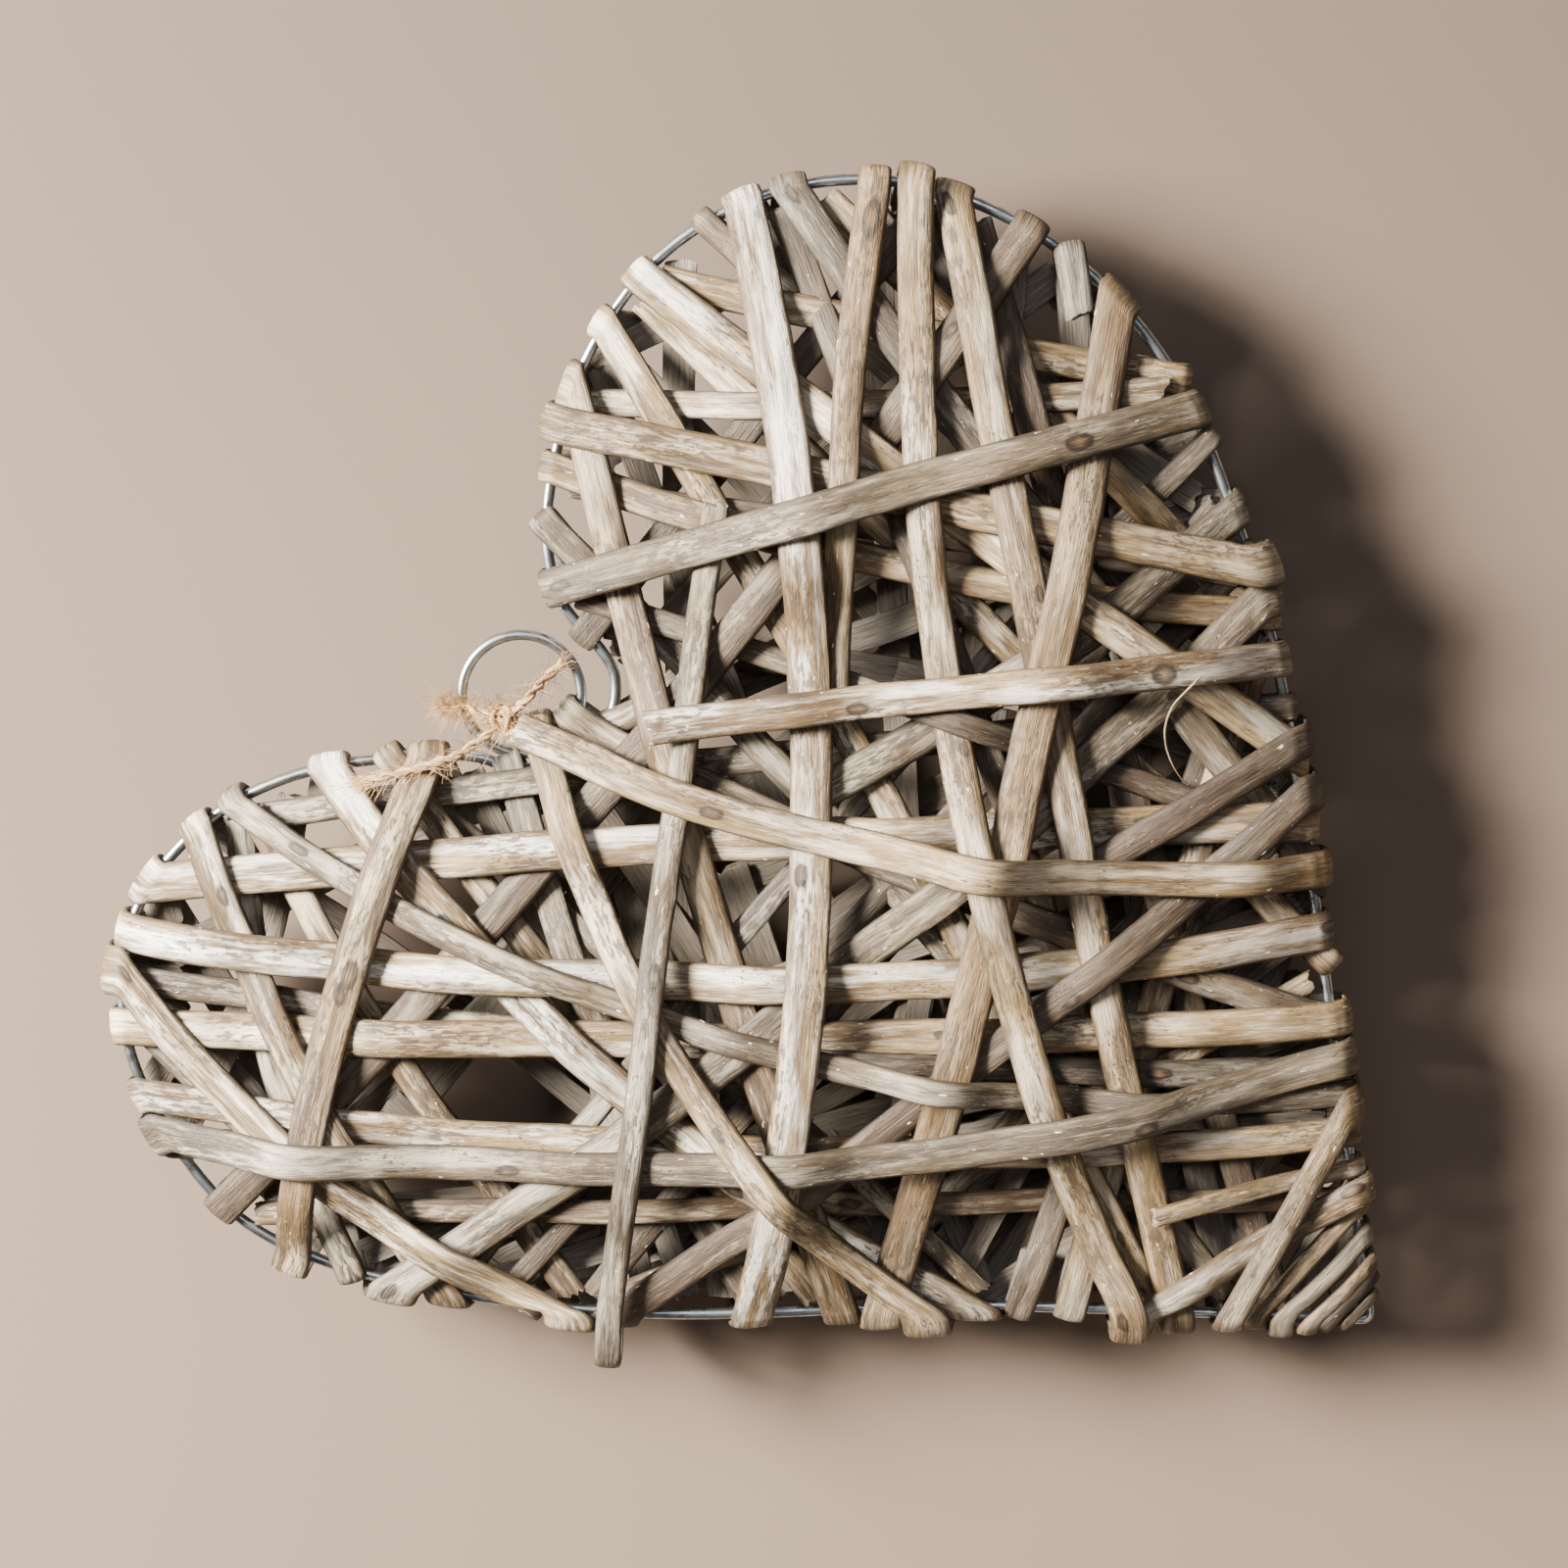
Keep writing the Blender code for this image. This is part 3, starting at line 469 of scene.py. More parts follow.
@dataclass
class Shell:
    """The points, faces and patterns of one piece while it is being made, in millimetres."""

    points: list[np.ndarray] = field(default_factory=list)
    faces: list[list[int]] = field(default_factory=list)
    grain: list[np.ndarray] = field(default_factory=list)
    traits: dict[str, list[np.ndarray]] = field(default_factory=dict)

    def add_loft(self, rows: np.ndarray, across: np.ndarray, along: np.ndarray,
                 traits: dict[str, np.ndarray] | None = None,
                 ring: bool = False) -> None:
        """Join closed rows of points to a tube with filled ends, or to a ring.

        Args:
            rows: stations by points round each by three.
            across: distance round the tube to each point, and once round.
            along: distance along the tube to each station.
            traits: attribute name to stations by points.
            ring: join the last row to the first, where along has one distance more.
        """
        start = sum(len(block) for block in self.points)
        count, around = rows.shape[:2]
        self.points.append(rows.reshape(-1, 3))
        for name, values in (traits or {}).items():
            self.traits.setdefault(name, []).append(values.reshape(-1))
        rows_joined = count if ring else count - 1
        i, j = np.meshgrid(np.arange(rows_joined), np.arange(around), indexing="ij")
        i, j = i.ravel(), j.ravel()
        k, ahead = (j + 1) % around, (i + 1) % count
        quads = np.stack([i * around + j, i * around + k, ahead * around + k,
                          ahead * around + j], axis=1) + start
        self.faces.extend(quads.tolist())
        u = np.stack([across[j], across[j + 1], across[j + 1], across[j]], axis=1)
        v = np.stack([along[i], along[i], along[i + 1], along[i + 1]], axis=1)
        self.grain.append(np.stack([u, v], axis=2).reshape(-1, 2))
        for end, order in () if ring else ((0, -1), (count - 1, 1)):
            rim = np.arange(around)[::order]
            self.faces.append((rim + end * around + start).tolist())
            self.grain.append(np.stack([across[rim], np.full(around, along[end])], axis=1))

    def make(self, name: str, angle: float = 40.0) -> bpy.types.Object:
        """Make the piece, its faces outwards and its shading smooth under an angle.

        Args:
            name: the piece's name.
            angle: faces that meet at less than this many degrees look smooth.
        Returns:
            The object, with its place in its mesh.
        """
        points = np.concatenate(self.points) * MM
        mesh = bpy.data.meshes.new(name)
        mesh.from_pydata(points.tolist(), [], self.faces)
        layer = mesh.uv_layers.new(name="grain")
        layer.data.foreach_set("uv", (np.concatenate(self.grain) / UV_UNIT).ravel())
        for trait, blocks in self.traits.items():
            values = mesh.attributes.new(trait, "FLOAT", "POINT")
            values.data.foreach_set("value", np.concatenate(blocks))
        piece = bpy.data.objects.new(name, mesh)
        bpy.context.scene.collection.objects.link(piece)
        pick(piece)
        bpy.ops.object.mode_set(mode="EDIT")
        bpy.ops.mesh.select_all(action="SELECT")
        bpy.ops.mesh.normals_make_consistent(inside=False)
        bpy.ops.object.mode_set(mode="OBJECT")
        bpy.ops.object.shade_smooth_by_angle(angle=math.radians(angle))
        return piece


def pick(*pieces: bpy.types.Object) -> None:
    """Select some pieces alone, and make the first the active one.

    Args:
        pieces: the pieces.
    """
    bpy.ops.object.select_all(action="DESELECT")
    for piece in pieces:
        piece.select_set(True)
    bpy.context.view_layer.objects.active = pieces[0]


def dress(piece: bpy.types.Object, finish: bpy.types.Material) -> bpy.types.Object:
    """Give a piece its finish, and let it ride on the heart.

    Args:
        piece: the piece.
        finish: its material.
    Returns:
        The piece.
    """
    piece.data.materials.clear()
    piece.data.materials.append(finish)
    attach(piece, "root")
    return piece


def round_rows(path: np.ndarray, radii: np.ndarray, sides: int) -> np.ndarray:
    """Give the rings of a round tube along a path, turned as little as may be.

    Args:
        path: its middle line.
        radii: its radius at each point.
        sides: the points of each ring.
    Returns:
        Stations by sides by three.
    """
    tangents = unit(np.gradient(path, axis=0))
    seed = np.array((0.0, 0.0, 1.0)) if abs(tangents[0][2]) < 0.9 else np.array((1.0, 0.0, 0.0))
    first = np.cross(tangents[0], seed)
    angles = np.arange(sides) * 2 * math.pi / sides
    rows = []
    for spot, tangent, radius in zip(path, tangents, radii):
        first = unit(first - tangent * (first @ tangent))
        second = np.cross(tangent, first)
        rows.append(spot + radius * (np.cos(angles)[:, None] * first
                                     + np.sin(angles)[:, None] * second))
    return np.array(rows)


# The strips

class PackedStrip:
    """The sections of one packed strip, read back from its solid."""

    def __init__(self, node: bpy.types.Object) -> None:
        """Merge a copy of the solid and walk along it from one end.

        Args:
            node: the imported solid.
        """
        solid = bmesh.new()
        solid.from_mesh(node.data)
        bmesh.ops.remove_doubles(solid, verts=solid.verts[:], dist=SAME_PLACE)
        solid.verts.index_update()
        self.spots = np.array([vertex.co[:] for vertex in solid.verts]) / MM
        self.links = [{edge.other_vert(vertex).index for edge in vertex.link_edges}
                      for vertex in solid.verts]
        solid.free()
        corners = self.corners(self.walk())
        self.left, self.right = corners[:, 0], corners[:, 1]
        self.middle = (self.left + self.right) / 2.0
        self.outer = (corners[:, 2] + corners[:, 3]) / 2.0 - self.middle

    def layers(self, first: set[int]) -> list[list[int]]:
        """Sort the corners by their number of steps from the first ones.

        Args:
            first: the first corners' numbers.
        Returns:
            The corners' numbers, step by step.
        """
        found, seen = [sorted(first)], set(first)
        while True:
            following = set().union(*(self.links[i] for i in found[-1])) - seen
            if not following:
                return found
            found.append(sorted(following))
            seen |= following

    def walk(self) -> list[list[int]]:
        """Find the sections in order along the strip.

        Returns:
            The numbers of each section's four corners.
        """
        for tip in self.layers({0})[-1]:
            near = set().union(*(self.links[i] for i in self.links[tip])) - {tip}
            nearest = sorted(near, key=lambda i: np.linalg.norm(self.spots[i] - self.spots[tip]))
            for others in combinations(nearest[:8], 3):
                found = self.layers({tip, *others})
                if all(len(ring) == 4 for ring in found):
                    return found
        raise ValueError("no run of four-cornered sections in this solid")

    def corners(self, stations: list[list[int]]) -> np.ndarray:
        """Put each section's corners in one order: inner left, inner right, and the outer two.

        Args:
            stations: the corners' numbers, section by section.
        Returns:
            Sections by four by three.
        """
        ordered: list[np.ndarray] = []
        for ring in stations[1:-1]:
            pairs = [(a, b) for a in ring for b in ring if a < b and b in self.links[a]]
            a, b = max(pairs, key=lambda p: np.linalg.norm(self.spots[p[0]] - self.spots[p[1]]))
            others = [i for i in ring if i not in (a, b)]
            c = next(i for i in others if i in self.links[b] and i not in self.links[a])
            d = next(i for i in others if i != c)
            four = self.spots[[a, b, c, d]]
            if ordered and (four[0] - four[1]) @ (ordered[-1][0] - ordered[-1][1]) < 0:
                four = four[[1, 0, 3, 2]]
            ordered.append(four)
        ends = []
        for ring, near in ((stations[0], ordered[0]), (stations[-1], ordered[-1])):
            best = min(permutations(ring), key=lambda order: np.linalg.norm(
                self.spots[list(order)] - near, axis=1).sum())
            ends.append(self.spots[list(best)])
        return np.array([ends[0], *ordered, ends[1]])


@dataclass
class Course:
    """The line that a strip follows, station by station, in millimetres."""

    middle: np.ndarray
    """The middle of its split face."""

    halves: np.ndarray
    """From there to its left edge."""

    outer: np.ndarray
    """From there to the top of its skin."""


def packed_course(packed: PackedStrip, station: float = 2.0, close: float = 0.9,
                  straight: float = 4.0, guard: float = 2.2) -> Course:
    """Run smooth lines through a packed strip's sections.

    Args:
        packed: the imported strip.
        station: the distance between stations on its straight parts.
        close: the same in its bends.
        straight: how far apart two sections of a straight part are at least.
        guard: how near a bend a long straight part is held in place at least.
    Returns:
        Its course.
    """
    packs = np.hstack([packed.middle, (packed.left - packed.right) / 2.0, packed.outer])
    steps = np.linalg.norm(np.diff(packed.middle, axis=0), axis=1)
    rows = [packs[0]]
    for i, step in enumerate(steps):
        # A row more near each end of a long straight part keeps the curve from swinging out
        low, high = packs[i], packs[i + 1]
        before = max(guard, 1.3 * steps[max(i - 1, 0)])
        after = max(guard, 1.3 * steps[min(i + 1, len(steps) - 1)])
        if step > 2.5 * before:
            rows.append(low + (high - low) * (before / step))
        if step > 2.5 * after:
            rows.append(low + (high - low) * (1.0 - after / step))
        rows.append(high)
    rows = np.array(rows)
    stations = along_path(rows[:, :3])
    wanted = [0.0]
    for low, high in zip(stations, stations[1:]):
        count = max(1, round((high - low) / station))
        if high - low <= straight:
            count = max(2, math.ceil((high - low) / close))
        wanted.extend(np.linspace(low, high, count + 1)[1:])
    fine = through(rows, stations, np.array(wanted))
    return Course(fine[:, :3], fine[:, 3:6], fine[:, 6:])


SKIN = ((1.0, 0.10), (1.0, 0.36), (0.93, 0.63), (0.78, 0.82), (0.56, 0.94), (0.30, 1.0),
        (0.0, 1.02), (-0.30, 1.0), (-0.56, 0.94), (-0.78, 0.82), (-0.93, 0.63),
        (-1.0, 0.36), (-1.0, 0.10))
"""The skin side of a split rod, in halves of its width and in its thickness."""

PROFILE = SKIN + ((-0.93, -0.02), (-0.5, 0.05), (0.0, 0.08), (0.5, 0.05), (0.93, -0.02))
"""All round it, with the split side, a little hollow."""


@dataclass
class WillowStrip:
    """One strip of split willow along its course."""

    name: str
    course: Course
    seed: int
    crown: float = 1.22
    """How high its skin is rounded, in its thickness."""

    wander: float = 0.45
    """How far it strays sideways."""

    ridge: float = 0.07
    """How high the ridges along its skin are."""

    bud_spacing: float = 150.0
    bud_free_end: float = 8.0
    bud_size: tuple[float, float] = (2.6, 1.25)
    """Half the length and half the width of a middling bud."""

    bud_rise: float = 0.32
    tear: float = 0.9
    """How far its ends are torn and slanted."""

    cut_bevel: float = 0.3
    scars: tuple[tuple[float, float, float, float], ...] = ()
    """Large knots: place on the front, then half length and half width."""

    def buds(self, rng: np.random.Generator, along: np.ndarray,
             middle: np.ndarray) -> list[tuple[float, float, float, float]]:
        """Draw the buds, and add the large knots.

        Args:
            rng: the seeded source.
            along: the distance along the strip to each station.
            middle: the middle of its split face.
        Returns:
            Distance along, place across in halves of the width, half length and half width of each.
        """
        found = []
        long, wide = self.bud_size
        spot = rng.uniform(0.2, 0.9) * self.bud_spacing
        while spot < along[-1] - self.bud_free_end:
            size = rng.uniform(0.7, 1.25)
            found.append((spot, rng.uniform(-0.55, 0.55), long * size, wide * size))
            spot += rng.uniform(0.55, 1.5) * self.bud_spacing
        behind = 99.0 * (self.course.outer[:, 2] < 0)
        for x, y, long, wide in self.scars:
            off = np.hypot(middle[:, 0] - x, middle[:, 1] - y) + behind
            found.append((along[int(off.argmin())], 0.1, long, wide))
        return found

    def sections(self, rng: np.random.Generator, along: np.ndarray,
                 tangents: np.ndarray) -> tuple[np.ndarray, np.ndarray]:
        """Draw its uneven sections.

        Args:
            rng: the seeded source.
            along: the distance along the strip to each station.
            tangents: the strip's way at each.
        Returns:
            Stations by points by three, and how much each point is part of a bud.
        """
        middle, halves, outer = self.course.middle, self.course.halves, self.course.outer
        widths = np.linalg.norm(halves, axis=1)
        thick = np.linalg.norm(outer, axis=1)
        ways = unit(np.cross(tangents, halves))
        ways *= np.sign((ways * outer).sum(axis=1))[:, None]
        middle = middle + unit(halves) * (drift(rng, along, 38.0) * self.wander)[:, None]
        halves = halves + ways * (widths * (drift(rng, along, 60.0) * 0.05))[:, None]
        sides = [1.0 + 0.035 * drift(rng, along, 45.0) + 0.03 * drift(rng, along, 9.0)
                 for _ in range(2)]
        swell = 1.0 + 0.07 * drift(rng, along, 26.0)
        buds = self.buds(rng, along, middle)
        columns, marks = [], []
        for k, (a, b) in enumerate(PROFILE):
            mark = np.zeros(len(along))
            for place, offset, long, wide in buds if k < len(SKIN) else ():
                reach = np.hypot((along - place) / long, (a - offset) * widths / wide)
                mark = np.maximum(mark, np.exp(-reach**2 * 1.2))
            groove = self.ridge * drift(rng, along, 24.0)
            height = b * thick * self.crown * swell + groove * (b > 0.3) + self.bud_rise * mark
            across = (a * sides[int(a < 0)])[:, None]
            columns.append(middle + halves * across + ways * height[:, None])
            marks.append(mark)
        return np.stack(columns, axis=1), np.stack(marks, axis=1)

    def build(self) -> bpy.types.Object:
        """Make the strip, its ends torn and capped.

        Returns:
            The piece.
        """
        rng = np.random.default_rng(self.seed)
        along = along_path(self.course.middle)
        tangents = unit(np.gradient(self.course.middle, axis=0))
        rows, bud = self.sections(rng, along, tangents)

        shares = np.array([a for a, _ in PROFILE])
        torn = rng.uniform(-self.tear, self.tear, (2, len(shares)))
        slant = rng.uniform(-self.tear, self.tear, 2)
        caps = []
        for end, way in ((0, -1.0), (-1, 1.0)):
            rows[end] += tangents[end] * (torn[end] + slant[end] * shares)[:, None]
            middle = rows[end].mean(axis=0)
            caps.append(middle + (rows[end] - middle) * 0.84 + tangents[end] * way * self.cut_bevel)
        rows = np.concatenate([caps[:1], rows, caps[1:]])
        bud = np.vstack([bud[:1], bud, bud[-1:]])
        along = np.concatenate([[along[0] - self.cut_bevel], along, [along[-1] + self.cut_bevel]])

        ring = rows[len(rows) // 2]
        across = along_path(np.concatenate([ring, ring[:1]])) + rng.uniform(0, 400)
        split = np.zeros(bud.shape)
        split[:, len(SKIN):] = 1.0
        split[[0, -1]] = 1.0
        edge = np.tile(np.abs(shares)**3, (len(bud), 1))
        tone = 0.7 * drift(rng, along - along[0], 70.0) + rng.uniform(-0.6, 0.6)
        tone = np.repeat(tone[:, None], len(shares), axis=1)
        shell = Shell()
        shell.add_loft(rows, across, along + rng.uniform(0, 4000),
                       {"bud": bud, "split": split, "edge": edge, "tone": tone})
        return shell.make(self.name)


class WeaveRoom:
    """The room in and round the weave, in cells of 1 by 1 by 0.5 mm, and which of them are taken."""

    cell = np.array((1.0, 1.0, 0.5))

    def __init__(self, low: np.ndarray, high: np.ndarray) -> None:
        """Start with every cell between two corners free, the low one and the high one."""
        self.low = low
        self.taken = np.zeros(np.ceil((high - low) / self.cell).astype(int) + 1, bool)

    def cells(self, spots: np.ndarray) -> tuple[np.ndarray, ...]:
        """Find the cells that hold some spots.

        Args:
            spots: the spots, of three values, or of two for whole columns of cells.
        Returns:
            The cells' numbers, one array for each value.
        """
        size = spots.shape[-1]
        index = np.floor((spots - self.low[:size]) / self.cell[:size]).astype(int)
        limit = np.array(self.taken.shape[:size]) - 1
        return tuple(np.moveaxis(np.clip(index, 0, limit), -1, 0))

    def inside(self, course: Course, spare: float) -> tuple[np.ndarray, ...]:
        """Give the cells that a strip fills.

        Args:
            course: the strip's course.
            spare: millimetres to add all round it.
        Returns:
            The cells.
        """
        count = len(course.middle)
        fine = np.linspace(0.0, count - 1.0, 3 * count)
        low = np.minimum(fine.astype(int), count - 2)
        share = (fine - low)[:, None]
        middle, halves, outer = (line[low] * (1 - share) + line[low + 1] * share
                                 for line in (course.middle, course.halves, course.outer))
        wide = 1.0 + spare / np.linalg.norm(halves, axis=1, keepdims=True)
        thick = spare / np.linalg.norm(outer, axis=1, keepdims=True)
        spots = [middle + halves * wide * a + outer * (b * (FULL_CROWN + 2 * thick) - thick)
                 for a in np.linspace(-1.0, 1.0, 9) for b in np.linspace(0.0, 1.0, 5)]
        return self.cells(np.stack(spots))

    def fill(self, course: Course) -> None:
        """Take a strip's cells."""
        self.taken[self.inside(course, 0.1)] = True

    def fill_box(self, low: np.ndarray, high: np.ndarray) -> None:
        """Take all the cells of a box."""
        first, last = (np.array(self.cells(corner)) for corner in (low, high))
        self.taken[tuple(slice(a, b + 1) for a, b in zip(first, last))] = True


def wire_line() -> np.ndarray:
    """Find the wire's middle line from the tops of its packed rings.

    Returns:
        Its points in order, the first again at the end.
    """
    wire = frame["nodes"]["wire_frame"].data
    spots = np.unique(np.round([v.co[:] for v in wire.vertices], 6), axis=0) / MM
    top = spots[:, 2].max()
    height = (top + spots[:, 2].min()) / 2.0
    left = [spot for spot in spots if spot[2] > top - 0.05]
    line = []
    nearest = min(left, key=lambda spot: spot[1])
    while True:
        line.append(nearest)
        left = [spot for spot in left if spot is not nearest]
        if not left:
            break
        nearest = min(left, key=lambda spot: np.linalg.norm(spot - line[-1]))
    found = np.array([*line, line[0]])
    if ((found[1:, 0] - found[:-1, 0]) * (found[1:, 1] + found[:-1, 1])).sum() > 0:
        found = found[::-1].copy()
    found[:, 2] = height
    return found


@dataclass
class InnerStrips:
    """Strips deeper in the weave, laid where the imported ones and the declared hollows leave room.

    Each runs from one place on the wire to another and goes over and under what it meets. Where the
    wire is free it turns round it and ends in a short tail, and elsewhere its end is tucked in.
    """

    room: WeaveRoom
    wire: np.ndarray
    """The wire's middle line, all round, in millimetres."""

    turn_radius: float = 1.65
    thickness: float = 1.25
    widths: tuple[float, float] = (5.0, 7.6)
    heights: tuple[float, float] = (5.0, 17.0)
    """How far from the wire's plane their middles would like to be."""

    bow: float = 7.0
    """How far they bend sideways at most."""

    shortest: float = 85.0
    tuck: float = 4.4
    tail: float = 13.0
    step: float = 2.2
    level: float = 0.5
    first_level: float = 1.0
    reach: float = 27.0
    cleft: tuple[float, float] = (-7.2, 78.0)
    """The middle of the cleft, and the height that no strip may cross it above."""

    least_square: float = 0.45
    """How squarely one has to cross the wire, where 1 is square."""

    tip_free: float = 17.0
    """How far above the tip the first one is."""

    most_crowded: float = 0.04
    """The share of a turn's cells that may be taken already."""

    least_cover: float = 0.7
    """The share of a tucked end that has to be under something."""

    hit_cost: float = 5.0
    roof_cost: float = 12.0
    stray_cost: float = 0.10
    steep_cost: float = 0.25
    """What a strip pays where it runs into another, comes out of the weave, strays from the height
    that it would like, and climbs steeply."""

    deep: float = 22.0
    """How far in from its ends the weave round a strip is weighed."""

    tries: int = 26
    laid: list[Course] = field(default_factory=list)

    def rim(self, share: float) -> tuple[np.ndarray, np.ndarray]:
        """Find a place on the wire.

        Args:
            share: how far round it is, from the tip, as a share of the wire's length.
        Returns:
            The place, and the way out of the heart there.
        """
        around = along_path(self.wire)
        at = np.array([(share % 1.0) * around[-1] + d for d in (-3.0, 0.0, 3.0)]) % around[-1]
        spots = np.stack([np.interp(at, around, self.wire[:, i]) for i in (0, 1)], axis=1)
        way = unit(spots[2] - spots[0])
        return spots[1], np.array((way[1], -way[0]))

    def levels(self) -> np.ndarray:
        """Give the distances of the levels from the wire's plane."""
        return self.first_level + self.level * np.arange(int(self.reach / self.level))

    def layers(self, plan: np.ndarray, side: float) -> np.ndarray:
        """Tell which levels are taken over some places.

        Args:
            plan: places on the floor plan, stations by spots across by two.
            side: 1 for the front, -1 for the back.
        Returns:
            Stations by levels, going out from the wire.
        """
        ix, iy = self.room.cells(plan)
        heights = self.wire[0, 2] + side * self.levels()
        iz = np.floor((heights - self.room.low[2]) / self.room.cell[2]).astype(int)
        return self.room.taken[ix, iy][:, :, iz].any(axis=1)

    def climb(self, taken: np.ndarray, goal: np.ndarray,
              roof: np.ndarray) -> tuple[np.ndarray, float]:
        """Find the easiest heights between what is in the way.

        Args:
            taken: stations by levels.
            goal: the height that each station would like.
            roof: the height that each station stays under, near the wire.
        Returns:
            The height at each station, and the share of stations that run into something.
        """
        levels = self.levels()
        count = len(levels)
        need = int(self.thickness * FULL_CROWN / self.level) + 2
        summed = np.cumsum(np.pad(taken.astype(float), ((0, 0), (2, need + 1)), mode="edge"), axis=1)
        hits = summed[:, need + 2:need + 2 + count] - summed[:, :count]
        tops = np.where(taken.any(axis=1), count - 1 - taken[:, ::-1].argmax(axis=1), -1)
        known = np.flatnonzero(tops >= 0)
        if len(known):
            tops = np.interp(np.arange(len(tops)), known, tops[known])
        high = (np.arange(count) > tops[:, None] - need + 2) | (levels > roof[:, None])

        # Each station takes a level at most two from the last one's, and steep steps cost more
        cost = (self.hit_cost * hits + self.stray_cost * np.abs(levels - goal[:, None])
                + self.roof_cost * high)
        best, came = cost[0], []
        for row in cost[1:]:
            ahead = np.pad(best, 2, constant_values=1e9)
            options = np.stack([ahead[m:m + count] + self.steep_cost * (m - 2)**2
                                for m in range(5)])
            came.append(options.argmin(axis=0))
            best = options.min(axis=0) + row
        chosen = [int(best.argmin())]
        for back in reversed(came):
            chosen.append(chosen[-1] + int(back[chosen[-1]]) - 2)
        chosen = np.array(chosen[::-1])
        heights = np.pad(levels[chosen], 4, mode="edge")
        heights = np.convolve(heights, np.array((1, 2, 3, 4, 5, 4, 3, 2, 1)) / 25.0, "valid")
        trouble = (hits + 2.0 * high)[np.arange(len(chosen)), chosen] > 0
        return heights, float(trouble.mean())

    def course(self, spots: list[tuple[float, float, float]], way: np.ndarray,
               half: float, side: float) -> Course:
        """Make a course from a run of places.

        Args:
            spots: the middle of the split face.
            way: the strip's way on the floor plan.
            half: half its width.
            side: 1 for the front, -1 for the back.
        Returns:
            The course.
        """
        middle = np.array(spots)
        across = np.array((-way[1], way[0], 0.0))
        outer = unit(np.cross(unit(np.gradient(middle, axis=0)), across)) * self.thickness
        return Course(middle, np.tile(across * half, (len(middle), 1)), outer * side)

    def turn(self, spot: np.ndarray, way: np.ndarray, out: np.ndarray, side: float,
             tail: float) -> list[tuple[float, float, float]]:
        """Give the places of a turn round the wire, from the end of its tail.

        Args:
            spot: the place on the wire.
            way: the way in from there.
            out: the way out of the heart.
            side: the side that the turn ends on.
            tail: how far it runs on past the wire on the other side.
        Returns:
            The places.
        """
        radius, height = self.turn_radius, self.wire[0, 2]
        slant = radius / max(abs(way @ out), 0.55)
        places = [(*(spot + way * t), height - side * (radius + 0.10 * (t - 2.0)))
                  for t in np.linspace(tail, 2.0, 6)]
        for angle in np.radians((-75.0, -45.0, -15.0, 15.0, 45.0, 75.0)):
            places.append((*(spot - way * slant * math.cos(angle)),
                           height + side * radius * math.sin(angle)))
        return places

    def free_turn(self, spot: np.ndarray, way: np.ndarray, out: np.ndarray, side: float,
                  half: float) -> list[tuple[float, float, float]]:
        """Give the places of a turn round the wire, or none where other strips are in its way.

        Args:
            spot: the place on the wire.
            way: the way in from there.
            out: the way out of the heart.
            side: the side that the turn ends on.
            half: half the strip's width.
        Returns:
            The places.
        """
        places = self.turn(spot, way, out, side, self.tail)
        probe = self.course(places, way, half, side)
        crowded = self.room.taken[self.room.inside(probe, 0.2)].mean() > self.most_crowded
        return [] if crowded else places

    def allowed(self, start: np.ndarray, end: np.ndarray, square: np.ndarray) -> bool:
        """Tell whether a strip may run between two places on the wire.

        Args:
            start: the first place.
            end: the second place.
            square: how squarely it crosses the wire at each.
        Returns:
            False where it crosses too much aslant, is at the tip or spans the cleft.
        """
        if square.min() < self.least_square:
            return False
        if min(start[1], end[1]) < self.wire[:, 1].min() + self.tip_free:
            return False
        share = (self.cleft[0] - start[0]) / (end[0] - start[0])
        return not (0.0 < share < 1.0
                    and start[1] + share * (end[1] - start[1]) > self.cleft[1])

    def lay(self, shares: tuple[float, float], side: float, half: float, goal: float,
            bow: float) -> tuple[Course | None, float]:
        """Lay a strip between two places on the wire.

        Args:
            shares: the places, as shares of the wire's length.
            side: 1 for the front, -1 for the back.
            half: half its width.
            goal: the height above the wire that its middle would like.
            bow: how far it bends sideways.
        Returns:
            Its course, and how much worth it has: more where the weave is thin and it runs free.
        """
        (start, out_start), (end, out_end) = self.rim(shares[0]), self.rim(shares[1])
        length = float(np.linalg.norm(end - start))
        way = (end - start) / length
        square = np.array((way @ -out_start, way @ out_end))
        if not self.allowed(start, end, square):
            return None, 0.0
        turns = [self.free_turn(start, way, out_start, side, half),
                 self.free_turn(end, -way, out_end, side, half)]

        # Between the ends: a row of stations, and the heights that they climb to
        tucks = (2.2 + half * np.sqrt(1.0 - np.minimum(square, 1.0)**2)) / square
        first, last = (2.5 if places else max(self.tuck, float(tuck))
                       for places, tuck in zip(turns, tucks))
        at = np.linspace(first, length - last, max(8, round(length / self.step)))
        across = np.array((-way[1], way[0]))
        lean = bow * np.sin(at / length * math.pi)
        spots = start + way * at[:, None] + across * lean[:, None]
        offsets = np.linspace(-half - 0.4, half + 0.4, 7)
        taken = self.layers(spots[:, None, :] + (across * offsets[:, None])[None], side)
        inside = np.minimum(at, length - at)
        climbed, hit = self.climb(taken, np.minimum(goal, 1.7 + 0.45 * inside), 3.0 + 0.6 * inside)

